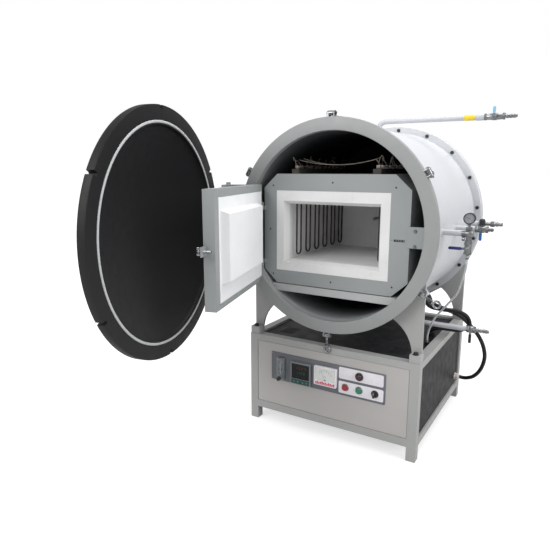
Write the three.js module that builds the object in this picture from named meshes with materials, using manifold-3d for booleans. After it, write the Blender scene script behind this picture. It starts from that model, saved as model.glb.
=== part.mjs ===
// Atmosphere box furnace: a fibre-lined box furnace inside a horizontal gas-tight vessel.
// The vessel has a dished lid with swing bolts and stands on a cabinet with the controls.
// Millimetres. +X is right seen from the front, +Y runs back into the furnace, +Z is up.
// The lid and the inner door both stand open.
import * as THREE from "three";
import { mergeVertices, toCreasedNormals } from "three/addons/utils/BufferGeometryUtils.js";
import ManifoldModule from "manifold-3d";

const wasm = await ManifoldModule();
wasm.setup();

// Driving dimensions: the cabinet, and the vessel that stands on it.
const CABINET = {
  width: 740,
  depth: 720,
  frontY: 18,
  height: 392,
  post: 36,
  topRail: 27,
  bottomRail: 32,
  footClearance: 56,
};
const VESSEL = {
  boreRadius: 361.5,
  wall: 25.5,
  frontLip: 48.5,
  rearLip: 56.5,
  flangeThickness: 26,
  rearFlangeThickness: 26,
  cabinetClearance: 56,
};
const cabinetBackY = CABINET.frontY + CABINET.depth;
const cabinetHalf = CABINET.width / 2;
VESSEL.shellRadius = VESSEL.boreRadius + VESSEL.wall;
VESSEL.flangeRadius = VESSEL.boreRadius + VESSEL.frontLip;
VESSEL.rearFlangeRadius = VESSEL.boreRadius + VESSEL.rearLip;
VESSEL.rearFlangeY = cabinetBackY - VESSEL.rearFlangeThickness;
VESSEL.axisHeight = CABINET.height + VESSEL.rearFlangeRadius + VESSEL.cabinetClearance;

// Places measured from the vessel's main faces.
const pastBore = (reach) => VESSEL.boreRadius + reach;
const pastShell = (reach) => VESSEL.shellRadius + reach;
const beforeRear = (distance) => VESSEL.rearFlangeY - distance;

const OPEN_ANGLES = {
  lid: 76.7,
  door: 73.5,
};
const FIT = {
  gap: 0.3,
  weld: 0.5,
  merge: 1e-4,
  cut: 4,
};
const ROUND = {
  vessel: 48,
  large: 20,
  medium: 14,
  small: 10,
  fine: 8,
  corner: 3,
  creaseShare: 0.2,
};
const COLOURS = {
  frame: 0xa3a4a1,
  panel: 0x9c9d9a,
  darkPanel: 0x3b3c3d,
  fascia: 0x55585a,
  shell: 0xe4e8ec,
  flange: 0x9b9d99,
  lid: 0x2f3032,
  gasket: 0xc2c5c6,
  box: 0x9b9f9b,
  fibre: 0xf1f0ee,
  element: 0x2b2622,
  steel: 0xc9ccce,
  chrome: 0xd8dadc,
  black: 0x1b1b1c,
  blue: 0x2f6fa8,
  navy: 0x1f2c5c,
  paleBlue: 0x9fc4d8,
  clear: 0xdfe6ea,
  red: 0xb3202c,
  green: 0x1d9a6c,
  ceramic: 0xd9d2c4,
  hose: 0xd4d8d8,
  cable: 0x161617,
  meter: 0xf0f0ee,
};

const DEGREE = Math.PI / 180;
const HALF_TURN = Math.PI;
const QUARTER_TURN = Math.PI / 2;

// A closed solid from a surface, and back.
function toSolid(geometry) {
  const bare = geometry.clone();
  bare.deleteAttribute("normal");
  bare.deleteAttribute("uv");
  const joined = mergeVertices(bare, FIT.merge);
  const corners = joined.index.array;
  const kept = [];
  for (let i = 0; i < corners.length; i += 3) {
    const [a, b, c] = [corners[i], corners[i + 1], corners[i + 2]];
    if (a !== b && b !== c && c !== a) {
      kept.push(a, b, c);
    }
  }
  const build = (triangles) => new wasm.Manifold(new wasm.Mesh({
    numProp: 3,
    vertProperties: new Float32Array(joined.attributes.position.array),
    triVerts: new Uint32Array(triangles),
  }));
  const solid = build(kept);
  return solid.volume() < 0 ? build(kept.reverse()) : solid;
}

function toGeometry(solid) {
  const mesh = solid.getMesh();
  const geometry = new THREE.BufferGeometry();
  geometry.setAttribute("position", new THREE.BufferAttribute(new Float32Array(mesh.vertProperties), 3));
  geometry.setIndex(new THREE.BufferAttribute(new Uint32Array(mesh.triVerts), 1));
  return toCreasedNormals(geometry.toNonIndexed(), HALF_TURN * ROUND.creaseShare);
}

function join(...geometries) {
  return toGeometry(geometries.map(toSolid).reduce((whole, next) => whole.add(next)));
}

function cut(geometry, ...tools) {
  return toGeometry(tools.map(toSolid).reduce((whole, next) => whole.subtract(next), toSolid(geometry)));
}

function common(first, second) {
  return toGeometry(toSolid(first).intersect(toSolid(second)));
}

// Simple bodies, placed by their centre unless the name says otherwise.
function block([x, y, z], [cx, cy, cz] = [0, 0, 0]) {
  return new THREE.BoxGeometry(x, y, z).translate(cx, cy, cz);
}

function span([x0, x1], [y0, y1], [z0, z1]) {
  return block([x1 - x0, y1 - y0, z1 - z0], [(x0 + x1) / 2, (y0 + y1) / 2, (z0 + z1) / 2]);
}

function rod(axis, radius, [from, to], [a, b] = [0, 0], sides = ROUND.medium, endRadius = radius) {
  const bar = new THREE.CylinderGeometry(endRadius, radius, to - from, sides);
  const middle = (from + to) / 2;
  if (axis === "x") {
    return bar.rotateZ(-QUARTER_TURN).translate(middle, a, b);
  }
  if (axis === "z") {
    return bar.rotateX(QUARTER_TURN).translate(a, b, middle);
  }
  return bar.translate(a, middle, b);
}

// A hole that clears a shaft of the given radius all round, flats included.
function clearance(axis, radius, along, place = [0, 0], sides = ROUND.small) {
  return rod(axis, (radius + FIT.gap) / Math.cos(HALF_TURN / sides), along, place, sides);
}

function spin(points, sides) {
  return new THREE.LatheGeometry(points.map(([radius, along]) => new THREE.Vector2(radius, along)), sides);
}

function ringAlongY([inner, outer], [from, to], sides) {
  return spin([[inner, from], [outer, from], [outer, to], [inner, to], [inner, from]], sides);
}

// An outline in X and Z made a plate along Y.
function plateAlongY(outline, [from, to], bevel = 0) {
  const depth = to - from - 2 * bevel;
  const settings = { depth, bevelEnabled: bevel > 0, bevelSize: bevel, bevelThickness: bevel, bevelSegments: 1 };
  const plate = new THREE.ExtrudeGeometry(outline, { ...settings, bevelOffset: -bevel, curveSegments: ROUND.corner });
  return plate.rotateX(QUARTER_TURN).translate(0, to - bevel, 0);
}

// An outline in X and Y made a plate along Z.
function plateAlongZ(outline, [from, to]) {
  const plate = new THREE.ExtrudeGeometry(outline, { depth: to - from, bevelEnabled: false, curveSegments: 2 * ROUND.corner });
  return plate.translate(0, 0, from);
}

function outlineOf(points) {
  return new THREE.Shape(points.map(([a, b]) => new THREE.Vector2(a, b)));
}

function roundedRect([x0, x1], [z0, z1], radius) {
  const shape = new THREE.Shape();
  shape.moveTo(x0 + radius, z0);
  shape.lineTo(x1 - radius, z0);
  shape.absarc(x1 - radius, z0 + radius, radius, -QUARTER_TURN, 0);
  shape.lineTo(x1, z1 - radius);
  shape.absarc(x1 - radius, z1 - radius, radius, 0, QUARTER_TURN);
  shape.lineTo(x0 + radius, z1);
  shape.absarc(x0 + radius, z1 - radius, radius, QUARTER_TURN, HALF_TURN);
  shape.lineTo(x0, z0 + radius);
  shape.absarc(x0 + radius, z0 + radius, radius, HALF_TURN, HALF_TURN + QUARTER_TURN);
  return shape;
}

function rectangle([x0, x1], [z0, z1]) {
  return outlineOf([[x0, z0], [x1, z0], [x1, z1], [x0, z1]]);
}

function circleShape(radius, sides) {
  const step = 2 * HALF_TURN / sides;
  return outlineOf(Array.from({ length: sides }, (_, i) => [radius * Math.cos(i * step), radius * Math.sin(i * step)]));
}

function tubeAlong(points, radius, sides, steps) {
  const route = new THREE.CatmullRomCurve3(points.map((point) => new THREE.Vector3(...point)), false, "centripetal");
  return new THREE.ExtrudeGeometry(circleShape(radius, sides), { extrudePath: route, steps, bevelEnabled: false });
}

function turnedAboutY(geometry, degrees) {
  return geometry.rotateY(-degrees * DEGREE);
}

function around(count, firstDegrees, make) {
  return Array.from({ length: count }, (_, i) => turnedAboutY(make(i), firstDegrees + i * 360 / count));
}

const furnace = new THREE.Group();
const cabinetGroup = new THREE.Group();
const vesselGroup = new THREE.Group();
vesselGroup.position.z = VESSEL.axisHeight;
furnace.add(cabinetGroup, vesselGroup);

function addPiece(group, name, geometry, colour, roughness, metalness, opacity = 1) {
  const material = new THREE.MeshStandardMaterial({ color: colour, roughness, metalness });
  material.opacity = opacity;
  material.transparent = opacity < 1;
  const piece = new THREE.Mesh(geometry, material);
  piece.name = name;
  group.add(piece);
  return piece;
}

// Cabinet: welded tube frame, flush front, recessed dark side panels and deck.
const PANEL = {
  sheet: 3,
  frontBevel: 2,
  frontSetback: 1,
  sideSetback: 7,
  deckSetback: 10,
};
const postInnerX = cabinetHalf - CABINET.post;
const railTopZ = CABINET.height;
const railUnderZ = CABINET.height - CABINET.topRail;
const lowRailTopZ = CABINET.footClearance + CABINET.bottomRail;

function makeStandFrame() {
  const { post, frontY } = CABINET;
  const pieces = [];
  for (const x of [-cabinetHalf + post / 2, cabinetHalf - post / 2]) {
    for (const y of [frontY + post / 2, cabinetBackY - post / 2]) {
      pieces.push(block([post, post, CABINET.height], [x, y, CABINET.height / 2]));
    }
    for (const [z0, z1] of [[railUnderZ, railTopZ], [CABINET.footClearance, lowRailTopZ]]) {
      pieces.push(span([x - post / 2, x + post / 2], [frontY, cabinetBackY], [z0, z1]));
    }
  }
  for (const y of [frontY, cabinetBackY - post]) {
    for (const [z0, z1] of [[railUnderZ, railTopZ], [CABINET.footClearance, lowRailTopZ]]) {
      pieces.push(span([-cabinetHalf, cabinetHalf], [y, y + post], [z0, z1]));
    }
  }
  return join(...pieces);
}
addPiece(cabinetGroup, "stand_frame", makeStandFrame(), COLOURS.frame, 0.45, 0.15);

const panelSpanX = [-postInnerX + FIT.gap, postInnerX - FIT.gap];
const panelSpanZ = [lowRailTopZ + FIT.gap, railUnderZ - FIT.gap];
const frontPanelY = CABINET.frontY + PANEL.frontSetback;

// Control fascia on the front panel.
const FASCIA = {
  x: [-262, 245],
  height: 123,
  fromTop: 65,
  thickness: 2.5,
  corner: 4,
  bevel: 0.8,
  stemReach: 40,
};
FASCIA.z = [CABINET.height - FASCIA.fromTop - FASCIA.height, CABINET.height - FASCIA.fromTop];
const onFascia = (rise) => FASCIA.z[0] + rise;
const CONTROLS = {
  buttonRise: 36,
  stopX: 81,
  startX: 139,
  selectorX: 204,
  bezelRadius: 15,
  bezelInner: 12.2,
  bezelHeight: 4,
  capRadius: 11.6,
  capRise: 9,
  capLift: 3.6,
  travel: 3,
  stemRadius: 5.7,
  knobRadius: 11.4,
  knobBase: 6,
  knobRise: 16,
  knobBarWidth: 8,
};
CONTROLS.buttonZ = onFascia(CONTROLS.buttonRise);
const fasciaBackY = frontPanelY - FIT.gap;
const fasciaFaceY = fasciaBackY - FASCIA.thickness;
const controlXs = [CONTROLS.stopX, CONTROLS.startX, CONTROLS.selectorX];

function makeFrontPanel() {
  const outline = rectangle(panelSpanX, panelSpanZ);
  const sheet = plateAlongY(outline, [frontPanelY, frontPanelY + PANEL.sheet + PANEL.frontBevel], PANEL.frontBevel);
  const holes = controlXs.map((x) => clearance(
    "y", CONTROLS.stemRadius, [frontPanelY - FIT.cut, frontPanelY + PANEL.sheet + PANEL.frontBevel + FIT.cut],
    [x, CONTROLS.buttonZ],
  ));
  return cut(sheet, ...holes);
}
addPiece(cabinetGroup, "front_panel", makeFrontPanel(), COLOURS.panel, 0.5, 0.1);

function makeFascia() {
  const plate = plateAlongY(roundedRect(FASCIA.x, FASCIA.z, FASCIA.corner), [fasciaFaceY, fasciaBackY], FASCIA.bevel);
  const bezelY = [fasciaFaceY - CONTROLS.bezelHeight, fasciaFaceY + FIT.weld];
  const bezels = controlXs.map((x) => rod("y", CONTROLS.bezelRadius, bezelY, [x, CONTROLS.buttonZ], ROUND.large));
  const wells = controlXs.map((x) => rod(
    "y", CONTROLS.bezelInner, [bezelY[0] - FIT.cut, fasciaFaceY], [x, CONTROLS.buttonZ], ROUND.large,
  ));
  const holes = controlXs.map((x) => clearance(
    "y", CONTROLS.stemRadius, [bezelY[0] - FIT.cut, fasciaBackY + FIT.cut], [x, CONTROLS.buttonZ],
  ));
  return cut(join(plate, ...bezels), ...wells, ...holes);
}
addPiece(cabinetGroup, "control_fascia", makeFascia(), COLOURS.fascia, 0.45, 0.05);

const controlFrontY = fasciaFaceY - FIT.gap;

function makeButton(x) {
  const capY = [fasciaFaceY - CONTROLS.capLift - CONTROLS.capRise, fasciaFaceY - CONTROLS.capLift];
  const cap = rod("y", CONTROLS.capRadius, capY, [x, CONTROLS.buttonZ], ROUND.large);
  const stemY = [fasciaFaceY - CONTROLS.capLift - FIT.weld, fasciaFaceY + FASCIA.stemReach];
  return join(cap, rod("y", CONTROLS.stemRadius, stemY, [x, CONTROLS.buttonZ], ROUND.small));
}
addPiece(cabinetGroup, "stop_button", makeButton(CONTROLS.stopX), COLOURS.red, 0.35, 0);
addPiece(cabinetGroup, "start_button", makeButton(CONTROLS.startX), COLOURS.green, 0.35, 0);

function makeSelector() {
  const x = CONTROLS.selectorX;
  const baseY = [fasciaFaceY - CONTROLS.bezelHeight - CONTROLS.knobBase, fasciaFaceY - FIT.gap];
  const base = rod("y", CONTROLS.knobRadius, baseY, [x, CONTROLS.buttonZ], ROUND.large);
  const barHalf = CONTROLS.knobBarWidth / 2;
  const bar = span(
    [x - barHalf, x + barHalf],
    [baseY[0] - CONTROLS.knobRise + CONTROLS.knobBase, baseY[0] + FIT.weld],
    [CONTROLS.buttonZ - CONTROLS.knobRadius, CONTROLS.buttonZ + CONTROLS.knobRadius],
  );
  const stem = rod("y", CONTROLS.stemRadius, [baseY[1] - FIT.weld, fasciaFaceY + FASCIA.stemReach], [x, CONTROLS.buttonZ], ROUND.small);
  return join(base, bar, stem);
}
addPiece(cabinetGroup, "selector_switch", makeSelector(), COLOURS.black, 0.4, 0);

// Instruments seated on the fascia.
const METERS = {
  controllerX: [-166, -70],
  controllerRise: [4, 100],
  controllerDepth: 9,
  controllerCorner: 4,
  controllerBorder: 7,
  keyStripHeight: 24,
  glassRecess: 2,
  keyCount: 4,
  keySize: 9,
  keyRise: 1,
  ammeterX: [-54, 46],
  ammeterRise: [25, 105],
  ammeterDepth: 12,
  ammeterCorner: 9,
  ammeterWindowBorder: 5,
  ammeterSkirt: 22,
  ammeterRecess: 1.5,
  flowX: [-227, -195],
  flowRise: [8, 106],
  flowDepth: 20,
  flowCorner: 4,
  flowSlotWidth: 10,
  flowSlotMargin: 16,
  flowSlotDepth: 7,
  flowKnobRadius: 9,
  flowKnobLength: 15,
  flowKnobRise: 18,
  flowStemRadius: 3,
  flowStemDepth: 8,
  flowFlutes: 10,
  fluteRadius: 1.6,
  alarmX: 139,
  alarmRise: 93,
  alarmRadius: 16,
  alarmHeight: 8,
  alarmDomeRadius: 12,
  alarmDomeHeight: 5,
};
METERS.controllerZ = METERS.controllerRise.map(onFascia);
METERS.ammeterZ = METERS.ammeterRise.map(onFascia);
METERS.flowZ = METERS.flowRise.map(onFascia);
METERS.flowKnobZ = onFascia(METERS.flowKnobRise);
METERS.alarmZ = onFascia(METERS.alarmRise);

function makeController() {
  const { controllerX: xs, controllerZ: zs, controllerBorder: edge } = METERS;
  const faceY = controlFrontY - METERS.controllerDepth;
  const body = plateAlongY(roundedRect(xs, zs, METERS.controllerCorner), [faceY, controlFrontY], FASCIA.bevel);
  const glassZ = [zs[0] + METERS.keyStripHeight, zs[1] - edge];
  const glass = span([xs[0] + edge, xs[1] - edge], [faceY - FIT.cut, faceY + METERS.glassRecess], glassZ);
  const pitch = (xs[1] - xs[0] - 2 * edge) / METERS.keyCount;
  const keyZ = zs[0] + METERS.keyStripHeight / 2;
  const keys = Array.from({ length: METERS.keyCount }, (_, i) => block(
    [METERS.keySize, METERS.keyRise * 2, METERS.keySize], [xs[0] + edge + pitch * (i + 1 / 2), faceY, keyZ],
  ));
  return join(cut(body, glass), ...keys);
}
addPiece(cabinetGroup, "temperature_controller", makeController(), COLOURS.black, 0.4, 0);

function makeAmmeter() {
  const { ammeterX: xs, ammeterZ: zs, ammeterWindowBorder: edge } = METERS;
  const faceY = controlFrontY - METERS.ammeterDepth;
  const body = plateAlongY(roundedRect(xs, zs, METERS.ammeterCorner), [faceY, controlFrontY], FASCIA.bevel);
  const window = span(
    [xs[0] + edge, xs[1] - edge], [faceY - FIT.cut, faceY + METERS.ammeterRecess], [zs[0] + METERS.ammeterSkirt, zs[1] - edge],
  );
  return cut(body, window);
}
addPiece(cabinetGroup, "ammeter", makeAmmeter(), COLOURS.meter, 0.3, 0);

const flowFaceY = controlFrontY - METERS.flowDepth;
const flowMiddleX = (METERS.flowX[0] + METERS.flowX[1]) / 2;

function makeFlowmeter() {
  const body = plateAlongY(
    roundedRect(METERS.flowX, METERS.flowZ, METERS.flowCorner), [flowFaceY, controlFrontY], FASCIA.bevel,
  );
  const slotHalf = METERS.flowSlotWidth / 2;
  const slot = span(
    [flowMiddleX - slotHalf, flowMiddleX + slotHalf],
    [flowFaceY - FIT.cut, flowFaceY + METERS.flowSlotDepth],
    [METERS.flowKnobZ + METERS.flowSlotMargin, METERS.flowZ[1] - METERS.flowSlotMargin],
  );
  const stemHole = clearance(
    "y", METERS.flowStemRadius, [flowFaceY - FIT.cut, flowFaceY + METERS.flowStemDepth + FIT.gap],
    [flowMiddleX, METERS.flowKnobZ],
  );
  return cut(body, slot, stemHole);
}
addPiece(cabinetGroup, "flowmeter_body", makeFlowmeter(), COLOURS.clear, 0.12, 0, 0.6);

function makeFlowKnob() {
  const place = [flowMiddleX, METERS.flowKnobZ];
  const knobY = [flowFaceY - FIT.gap - METERS.flowKnobLength, flowFaceY - FIT.gap];
  const knob = rod("y", METERS.flowKnobRadius, knobY, place, ROUND.medium);
  const stem = rod("y", METERS.flowStemRadius, [knobY[1] - FIT.weld, flowFaceY + METERS.flowStemDepth], place, ROUND.small);
  const flutes = Array.from({ length: METERS.flowFlutes }, (_, i) => {
    const turn = 2 * HALF_TURN * i / METERS.flowFlutes;
    const centre = [place[0] + METERS.flowKnobRadius * Math.cos(turn), place[1] + METERS.flowKnobRadius * Math.sin(turn)];
    return rod("y", METERS.fluteRadius, [knobY[0] - FIT.cut, knobY[1] + FIT.cut], centre, ROUND.small / 2);
  });
  return join(cut(knob, ...flutes), stem);
}
addPiece(cabinetGroup, "flowmeter_knob", makeFlowKnob(), COLOURS.black, 0.45, 0);

function makeAlarm() {
  const place = [METERS.alarmX, METERS.alarmZ];
  const ringY = [controlFrontY - METERS.alarmHeight, controlFrontY];
  const base = rod("y", METERS.alarmRadius, ringY, place, ROUND.large);
  const dome = rod(
    "y", METERS.alarmDomeRadius - METERS.alarmDomeHeight / 2, [ringY[0] - METERS.alarmDomeHeight, ringY[0] + FIT.weld],
    place, ROUND.large, METERS.alarmDomeRadius,
  );
  return join(base, dome);
}
addPiece(cabinetGroup, "alarm_buzzer", makeAlarm(), COLOURS.black, 0.35, 0);

// Side, rear and bottom panels, and the slotted deck.
const VENTS = {
  width: 70,
  height: 5,
  pitch: 12,
  rearCount: 8,
  rearX: 150,
  rearFromTop: 142,
  deckCount: 7,
  deckLength: 66,
  deckFromPost: 84,
  deckY: 120,
};
VENTS.rearZ = CABINET.height - VENTS.rearFromTop;
VENTS.deckX = postInnerX - VENTS.deckFromPost;
const sideInnerY = [CABINET.frontY + CABINET.post + FIT.gap, cabinetBackY - CABINET.post - FIT.gap];

function makeSidePanel(side) {
  const outerX = side * (cabinetHalf - PANEL.sideSetback);
  return span([outerX - side * PANEL.sheet, outerX].sort((a, b) => a - b), sideInnerY, panelSpanZ);
}
addPiece(cabinetGroup, "left_side_panel", makeSidePanel(-1), COLOURS.darkPanel, 0.5, 0.1);

// A nylon gland on the right-hand side panel lets the supply cable out.
const CABLE_GLAND = {
  fromBack: 82,
  rise: 36,
  bodyRadius: 12,
  nutRadius: 15,
  nutLength: 9,
  bodyLength: 24,
  backNutLength: 6,
};
CABLE_GLAND.y = cabinetBackY - CABLE_GLAND.fromBack;
CABLE_GLAND.z = lowRailTopZ + CABLE_GLAND.rise;

function makeRightPanel() {
  const outer = cabinetHalf - PANEL.sideSetback;
  const hole = clearance(
    "x", CABLE_GLAND.bodyRadius, [outer - PANEL.sheet - FIT.cut, outer + FIT.cut], [CABLE_GLAND.y, CABLE_GLAND.z],
  );
  return cut(makeSidePanel(1), hole);
}
addPiece(cabinetGroup, "right_side_panel", makeRightPanel(), COLOURS.darkPanel, 0.5, 0.1);

const glandOuterX = cabinetHalf - PANEL.sideSetback + FIT.gap;

function makeGland() {
  const place = [CABLE_GLAND.y, CABLE_GLAND.z];
  const innerFace = glandOuterX - PANEL.sheet - 2 * FIT.gap;
  const nut = rod("x", CABLE_GLAND.nutRadius, [glandOuterX, glandOuterX + CABLE_GLAND.nutLength], place, 6);
  const body = rod(
    "x", CABLE_GLAND.bodyRadius, [innerFace - FIT.weld, glandOuterX + CABLE_GLAND.bodyLength], place, ROUND.medium,
  );
  const backNut = rod("x", CABLE_GLAND.nutRadius, [innerFace - CABLE_GLAND.backNutLength, innerFace], place, 6);
  return join(nut, body, backNut);
}
addPiece(cabinetGroup, "cable_gland", makeGland(), COLOURS.ceramic, 0.5, 0);

function makeRearPanel() {
  const outer = cabinetBackY - PANEL.sideSetback;
  const sheet = span(panelSpanX, [outer - PANEL.sheet, outer], panelSpanZ);
  const slots = [];
  for (const x of [-VENTS.rearX, VENTS.rearX]) {
    for (let i = 0; i < VENTS.rearCount; i += 1) {
      const z = VENTS.rearZ + (i - VENTS.rearCount / 2) * VENTS.pitch;
      slots.push(block([VENTS.width, PANEL.sheet + 2 * FIT.cut, VENTS.height], [x, outer - PANEL.sheet / 2, z]));
    }
  }
  return cut(sheet, ...slots);
}
addPiece(cabinetGroup, "rear_panel", makeRearPanel(), COLOURS.darkPanel, 0.5, 0.1);

const bottomPanelZ = [lowRailTopZ - PANEL.sheet - FIT.gap, lowRailTopZ - FIT.gap];
addPiece(
  cabinetGroup, "bottom_panel", span(panelSpanX, sideInnerY, bottomPanelZ), COLOURS.darkPanel, 0.5, 0.1,
);

const deckTopZ = railTopZ - PANEL.deckSetback;
const DECK_OUTLETS = {
  hoseFromPost: 12,
  hoseY: 282,
  hoseRadius: 9,
  hoseRise: 12,
  cableFromPost: 30,
  cableFromBack: 328,
  cableRadius: 15,
  cableRise: 18,
};
DECK_OUTLETS.hose = [postInnerX - DECK_OUTLETS.hoseFromPost, DECK_OUTLETS.hoseY];
DECK_OUTLETS.cable = [postInnerX - DECK_OUTLETS.cableFromPost, cabinetBackY - DECK_OUTLETS.cableFromBack];

function makeDeck() {
  const sheet = span(panelSpanX, sideInnerY, [deckTopZ - PANEL.sheet, deckTopZ]);
  const slots = [];
  for (const x of [-VENTS.deckX, VENTS.deckX]) {
    for (let i = 0; i < VENTS.deckCount; i += 1) {
      const y = VENTS.deckY + i * VENTS.pitch;
      slots.push(block([VENTS.deckLength, VENTS.height, PANEL.sheet + 2 * FIT.cut], [x, y, deckTopZ - PANEL.sheet / 2]));
    }
  }
  const hoseSeat = rod(
    "z", DECK_OUTLETS.hoseRadius, [deckTopZ - FIT.weld, deckTopZ + DECK_OUTLETS.hoseRise], DECK_OUTLETS.hose,
  );
  const cableSeat = rod(
    "z", DECK_OUTLETS.cableRadius, [deckTopZ - FIT.weld, deckTopZ + DECK_OUTLETS.cableRise], DECK_OUTLETS.cable,
  );
  return join(cut(sheet, ...slots), hoseSeat, cableSeat);
}
addPiece(cabinetGroup, "top_deck", makeDeck(), COLOURS.darkPanel, 0.55, 0.1);

// Saddles that carry the vessel on the cabinet's side rails.
const SADDLE = {
  legInset: 6,
  frontY: [52, 64],
  rearSetback: [2, 24],
  topDrop: 166,
  archRise: 11,
  archRadius: 156,
  bandThickness: 7,
  padInset: [42, 2],
  padDepth: 44,
  padHeight: 30,
  boltRadius: 8,
  boltHeight: 9,
  boltFromEdge: 12,
};
SADDLE.halfWidth = cabinetHalf - SADDLE.legInset;
SADDLE.padX = SADDLE.padInset.map((inset) => cabinetHalf - inset);
SADDLE.rearY = SADDLE.rearSetback.map((setback) => VESSEL.rearFlangeY + setback);
SADDLE.topZ = VESSEL.axisHeight - SADDLE.topDrop;
SADDLE.archCentreX = SADDLE.padX[0] - SADDLE.archRadius;
SADDLE.archCentreZ = railTopZ + SADDLE.archRise;
const padTopZ = railTopZ + FIT.gap + SADDLE.padHeight;

function makeSaddle([fromY, toY], cradleRadius, padY) {
  const archInner = SADDLE.archCentreX + SADDLE.archRadius;
  const half = outlineOf([
    [0, SADDLE.topZ], [0, padTopZ], [archInner, padTopZ - FIT.weld], [SADDLE.halfWidth, padTopZ - FIT.weld],
    [SADDLE.halfWidth, SADDLE.topZ],
  ]);
  const mirror = outlineOf([
    [0, SADDLE.topZ], [-SADDLE.halfWidth, SADDLE.topZ], [-SADDLE.halfWidth, padTopZ - FIT.weld],
    [-archInner, padTopZ - FIT.weld], [0, padTopZ],
  ]);
  const web = join(plateAlongY(half, [fromY, toY]), plateAlongY(mirror, [fromY, toY]));
  const cradle = rod("y", cradleRadius, [fromY - FIT.cut, toY + FIT.cut], [0, VESSEL.axisHeight], ROUND.vessel);
  const arches = [-1, 1].map((side) => rod(
    "y", SADDLE.archRadius, [fromY - FIT.cut, toY + FIT.cut], [side * SADDLE.archCentreX, SADDLE.archCentreZ], ROUND.vessel,
  ));
  const between = span(
    [-SADDLE.archCentreX, SADDLE.archCentreX], [fromY - FIT.cut, toY + FIT.cut],
    [railTopZ, SADDLE.archCentreZ + SADDLE.archRadius],
  );
  const below = span(
    [-archInner, archInner], [fromY - FIT.cut, toY + FIT.cut], [railTopZ, SADDLE.archCentreZ],
  );
  const legs = cut(web, cradle, ...arches, between, below);
  const bandRing = ringAlongY([cradleRadius, cradleRadius + SADDLE.bandThickness], [fromY, toY], ROUND.vessel)
    .translate(0, 0, VESSEL.axisHeight);
  const band = common(bandRing, span(
    [-archInner, archInner], [fromY - FIT.cut, toY + FIT.cut], [railTopZ, SADDLE.archCentreZ + SADDLE.archRadius],
  ));
  const feet = [];
  for (const side of [-1, 1]) {
    const xs = SADDLE.padX.map((x) => side * x).sort((a, b) => a - b);
    feet.push(span(xs, padY, [railTopZ + FIT.gap, padTopZ]));
    const boltY = padY[0] + SADDLE.boltFromEdge;
    const boltX = (xs[0] + xs[1]) / 2;
    feet.push(rod("z", SADDLE.boltRadius, [padTopZ - FIT.weld, padTopZ + SADDLE.boltHeight], [boltX, boltY], 6));
  }
  return join(legs, band, ...feet);
}
const frontPadY = [SADDLE.frontY[1] - SADDLE.padDepth, SADDLE.frontY[1]];
const rearPadY = [SADDLE.rearY[1] - SADDLE.padDepth, SADDLE.rearY[1]];
const outerShellRadius = VESSEL.shellRadius + FIT.gap;
const outerRearRadius = VESSEL.rearFlangeRadius + FIT.gap;
addPiece(
  cabinetGroup, "front_saddle", makeSaddle(SADDLE.frontY, outerShellRadius, frontPadY), COLOURS.frame, 0.45, 0.15,
);
addPiece(
  cabinetGroup, "rear_saddle", makeSaddle(SADDLE.rearY, outerRearRadius, rearPadY), COLOURS.frame, 0.45, 0.15,
);

// Vessel: jacketed shell with ports, front flange with lugs, rear ring and dished cover.
const PORTS = {
  ventFromRear: 220,
  manifoldY: 144,
  manifoldZ: -2,
  exhaustFromRear: 359,
  exhaustZ: -7,
  rearFromRear: 138,
  rearZ: -6,
  vacuumX: 190,
  vacuumFromRear: 343,
  pipeRadius: 10.7,
  collarRadius: 18,
  collarHeight: 9,
  glandDegrees: -50,
  glandRadius: 15,
  glandReach: 30,
  powerFromRear: 262,
  elementFromRear: 312,
};
PORTS.ventY = beforeRear(PORTS.ventFromRear);
PORTS.exhaustY = beforeRear(PORTS.exhaustFromRear);
PORTS.rearY = beforeRear(PORTS.rearFromRear);
PORTS.vacuumY = beforeRear(PORTS.vacuumFromRear);
PORTS.powerY = beforeRear(PORTS.powerFromRear);
PORTS.elementY = beforeRear(PORTS.elementFromRear);
const shellY = [VESSEL.flangeThickness + FIT.gap, VESSEL.rearFlangeY - FIT.gap];
const portFar = VESSEL.shellRadius + 2 * FIT.cut;
const glandSeatRadius = VESSEL.shellRadius + PORTS.glandReach;

function makeShell() {
  const barrel = ringAlongY([VESSEL.boreRadius, VESSEL.shellRadius], shellY, ROUND.vessel);
  const seats = [PORTS.powerY, PORTS.elementY].map((y) => turnedAboutY(
    rod("x", PORTS.glandRadius, [VESSEL.boreRadius + FIT.cut, glandSeatRadius], [y, 0], ROUND.small), PORTS.glandDegrees,
  ));
  const sidePorts = [
    [PORTS.manifoldY, PORTS.manifoldZ], [PORTS.exhaustY, PORTS.exhaustZ], [PORTS.rearY, PORTS.rearZ],
  ].map((place) => clearance("x", PORTS.pipeRadius, [VESSEL.boreRadius - FIT.cut * 2, portFar], place));
  const ventPort = clearance("z", PORTS.pipeRadius, [VESSEL.boreRadius - FIT.cut, portFar], [0, PORTS.ventY]);
  const vacuumPort = clearance("z", PORTS.pipeRadius, [-portFar, 0], [PORTS.vacuumX, PORTS.vacuumY]);
  return cut(join(barrel, ...seats), ...sidePorts, ventPort, vacuumPort);
}
addPiece(vesselGroup, "vessel_shell", makeShell(), COLOURS.shell, 0.4, 0.1);

// Each lug is a pair of ears with a pin that a swing bolt turns on.
const LUG = {
  angles: [30, 90, 150, 210, 270, 330],
  pinReach: 12,
  pinY: 10,
  earFrom: 8.3,
  earThickness: 7,
  earRadius: 9.5,
  rootDepth: 8,
  pin: 4,
  headRadius: 6.5,
  headHeight: 4,
};
LUG.pinRadius = VESSEL.flangeRadius + LUG.pinReach;
LUG.rootRadius = VESSEL.flangeRadius - LUG.rootDepth;
const earTo = LUG.earFrom + LUG.earThickness;

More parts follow.
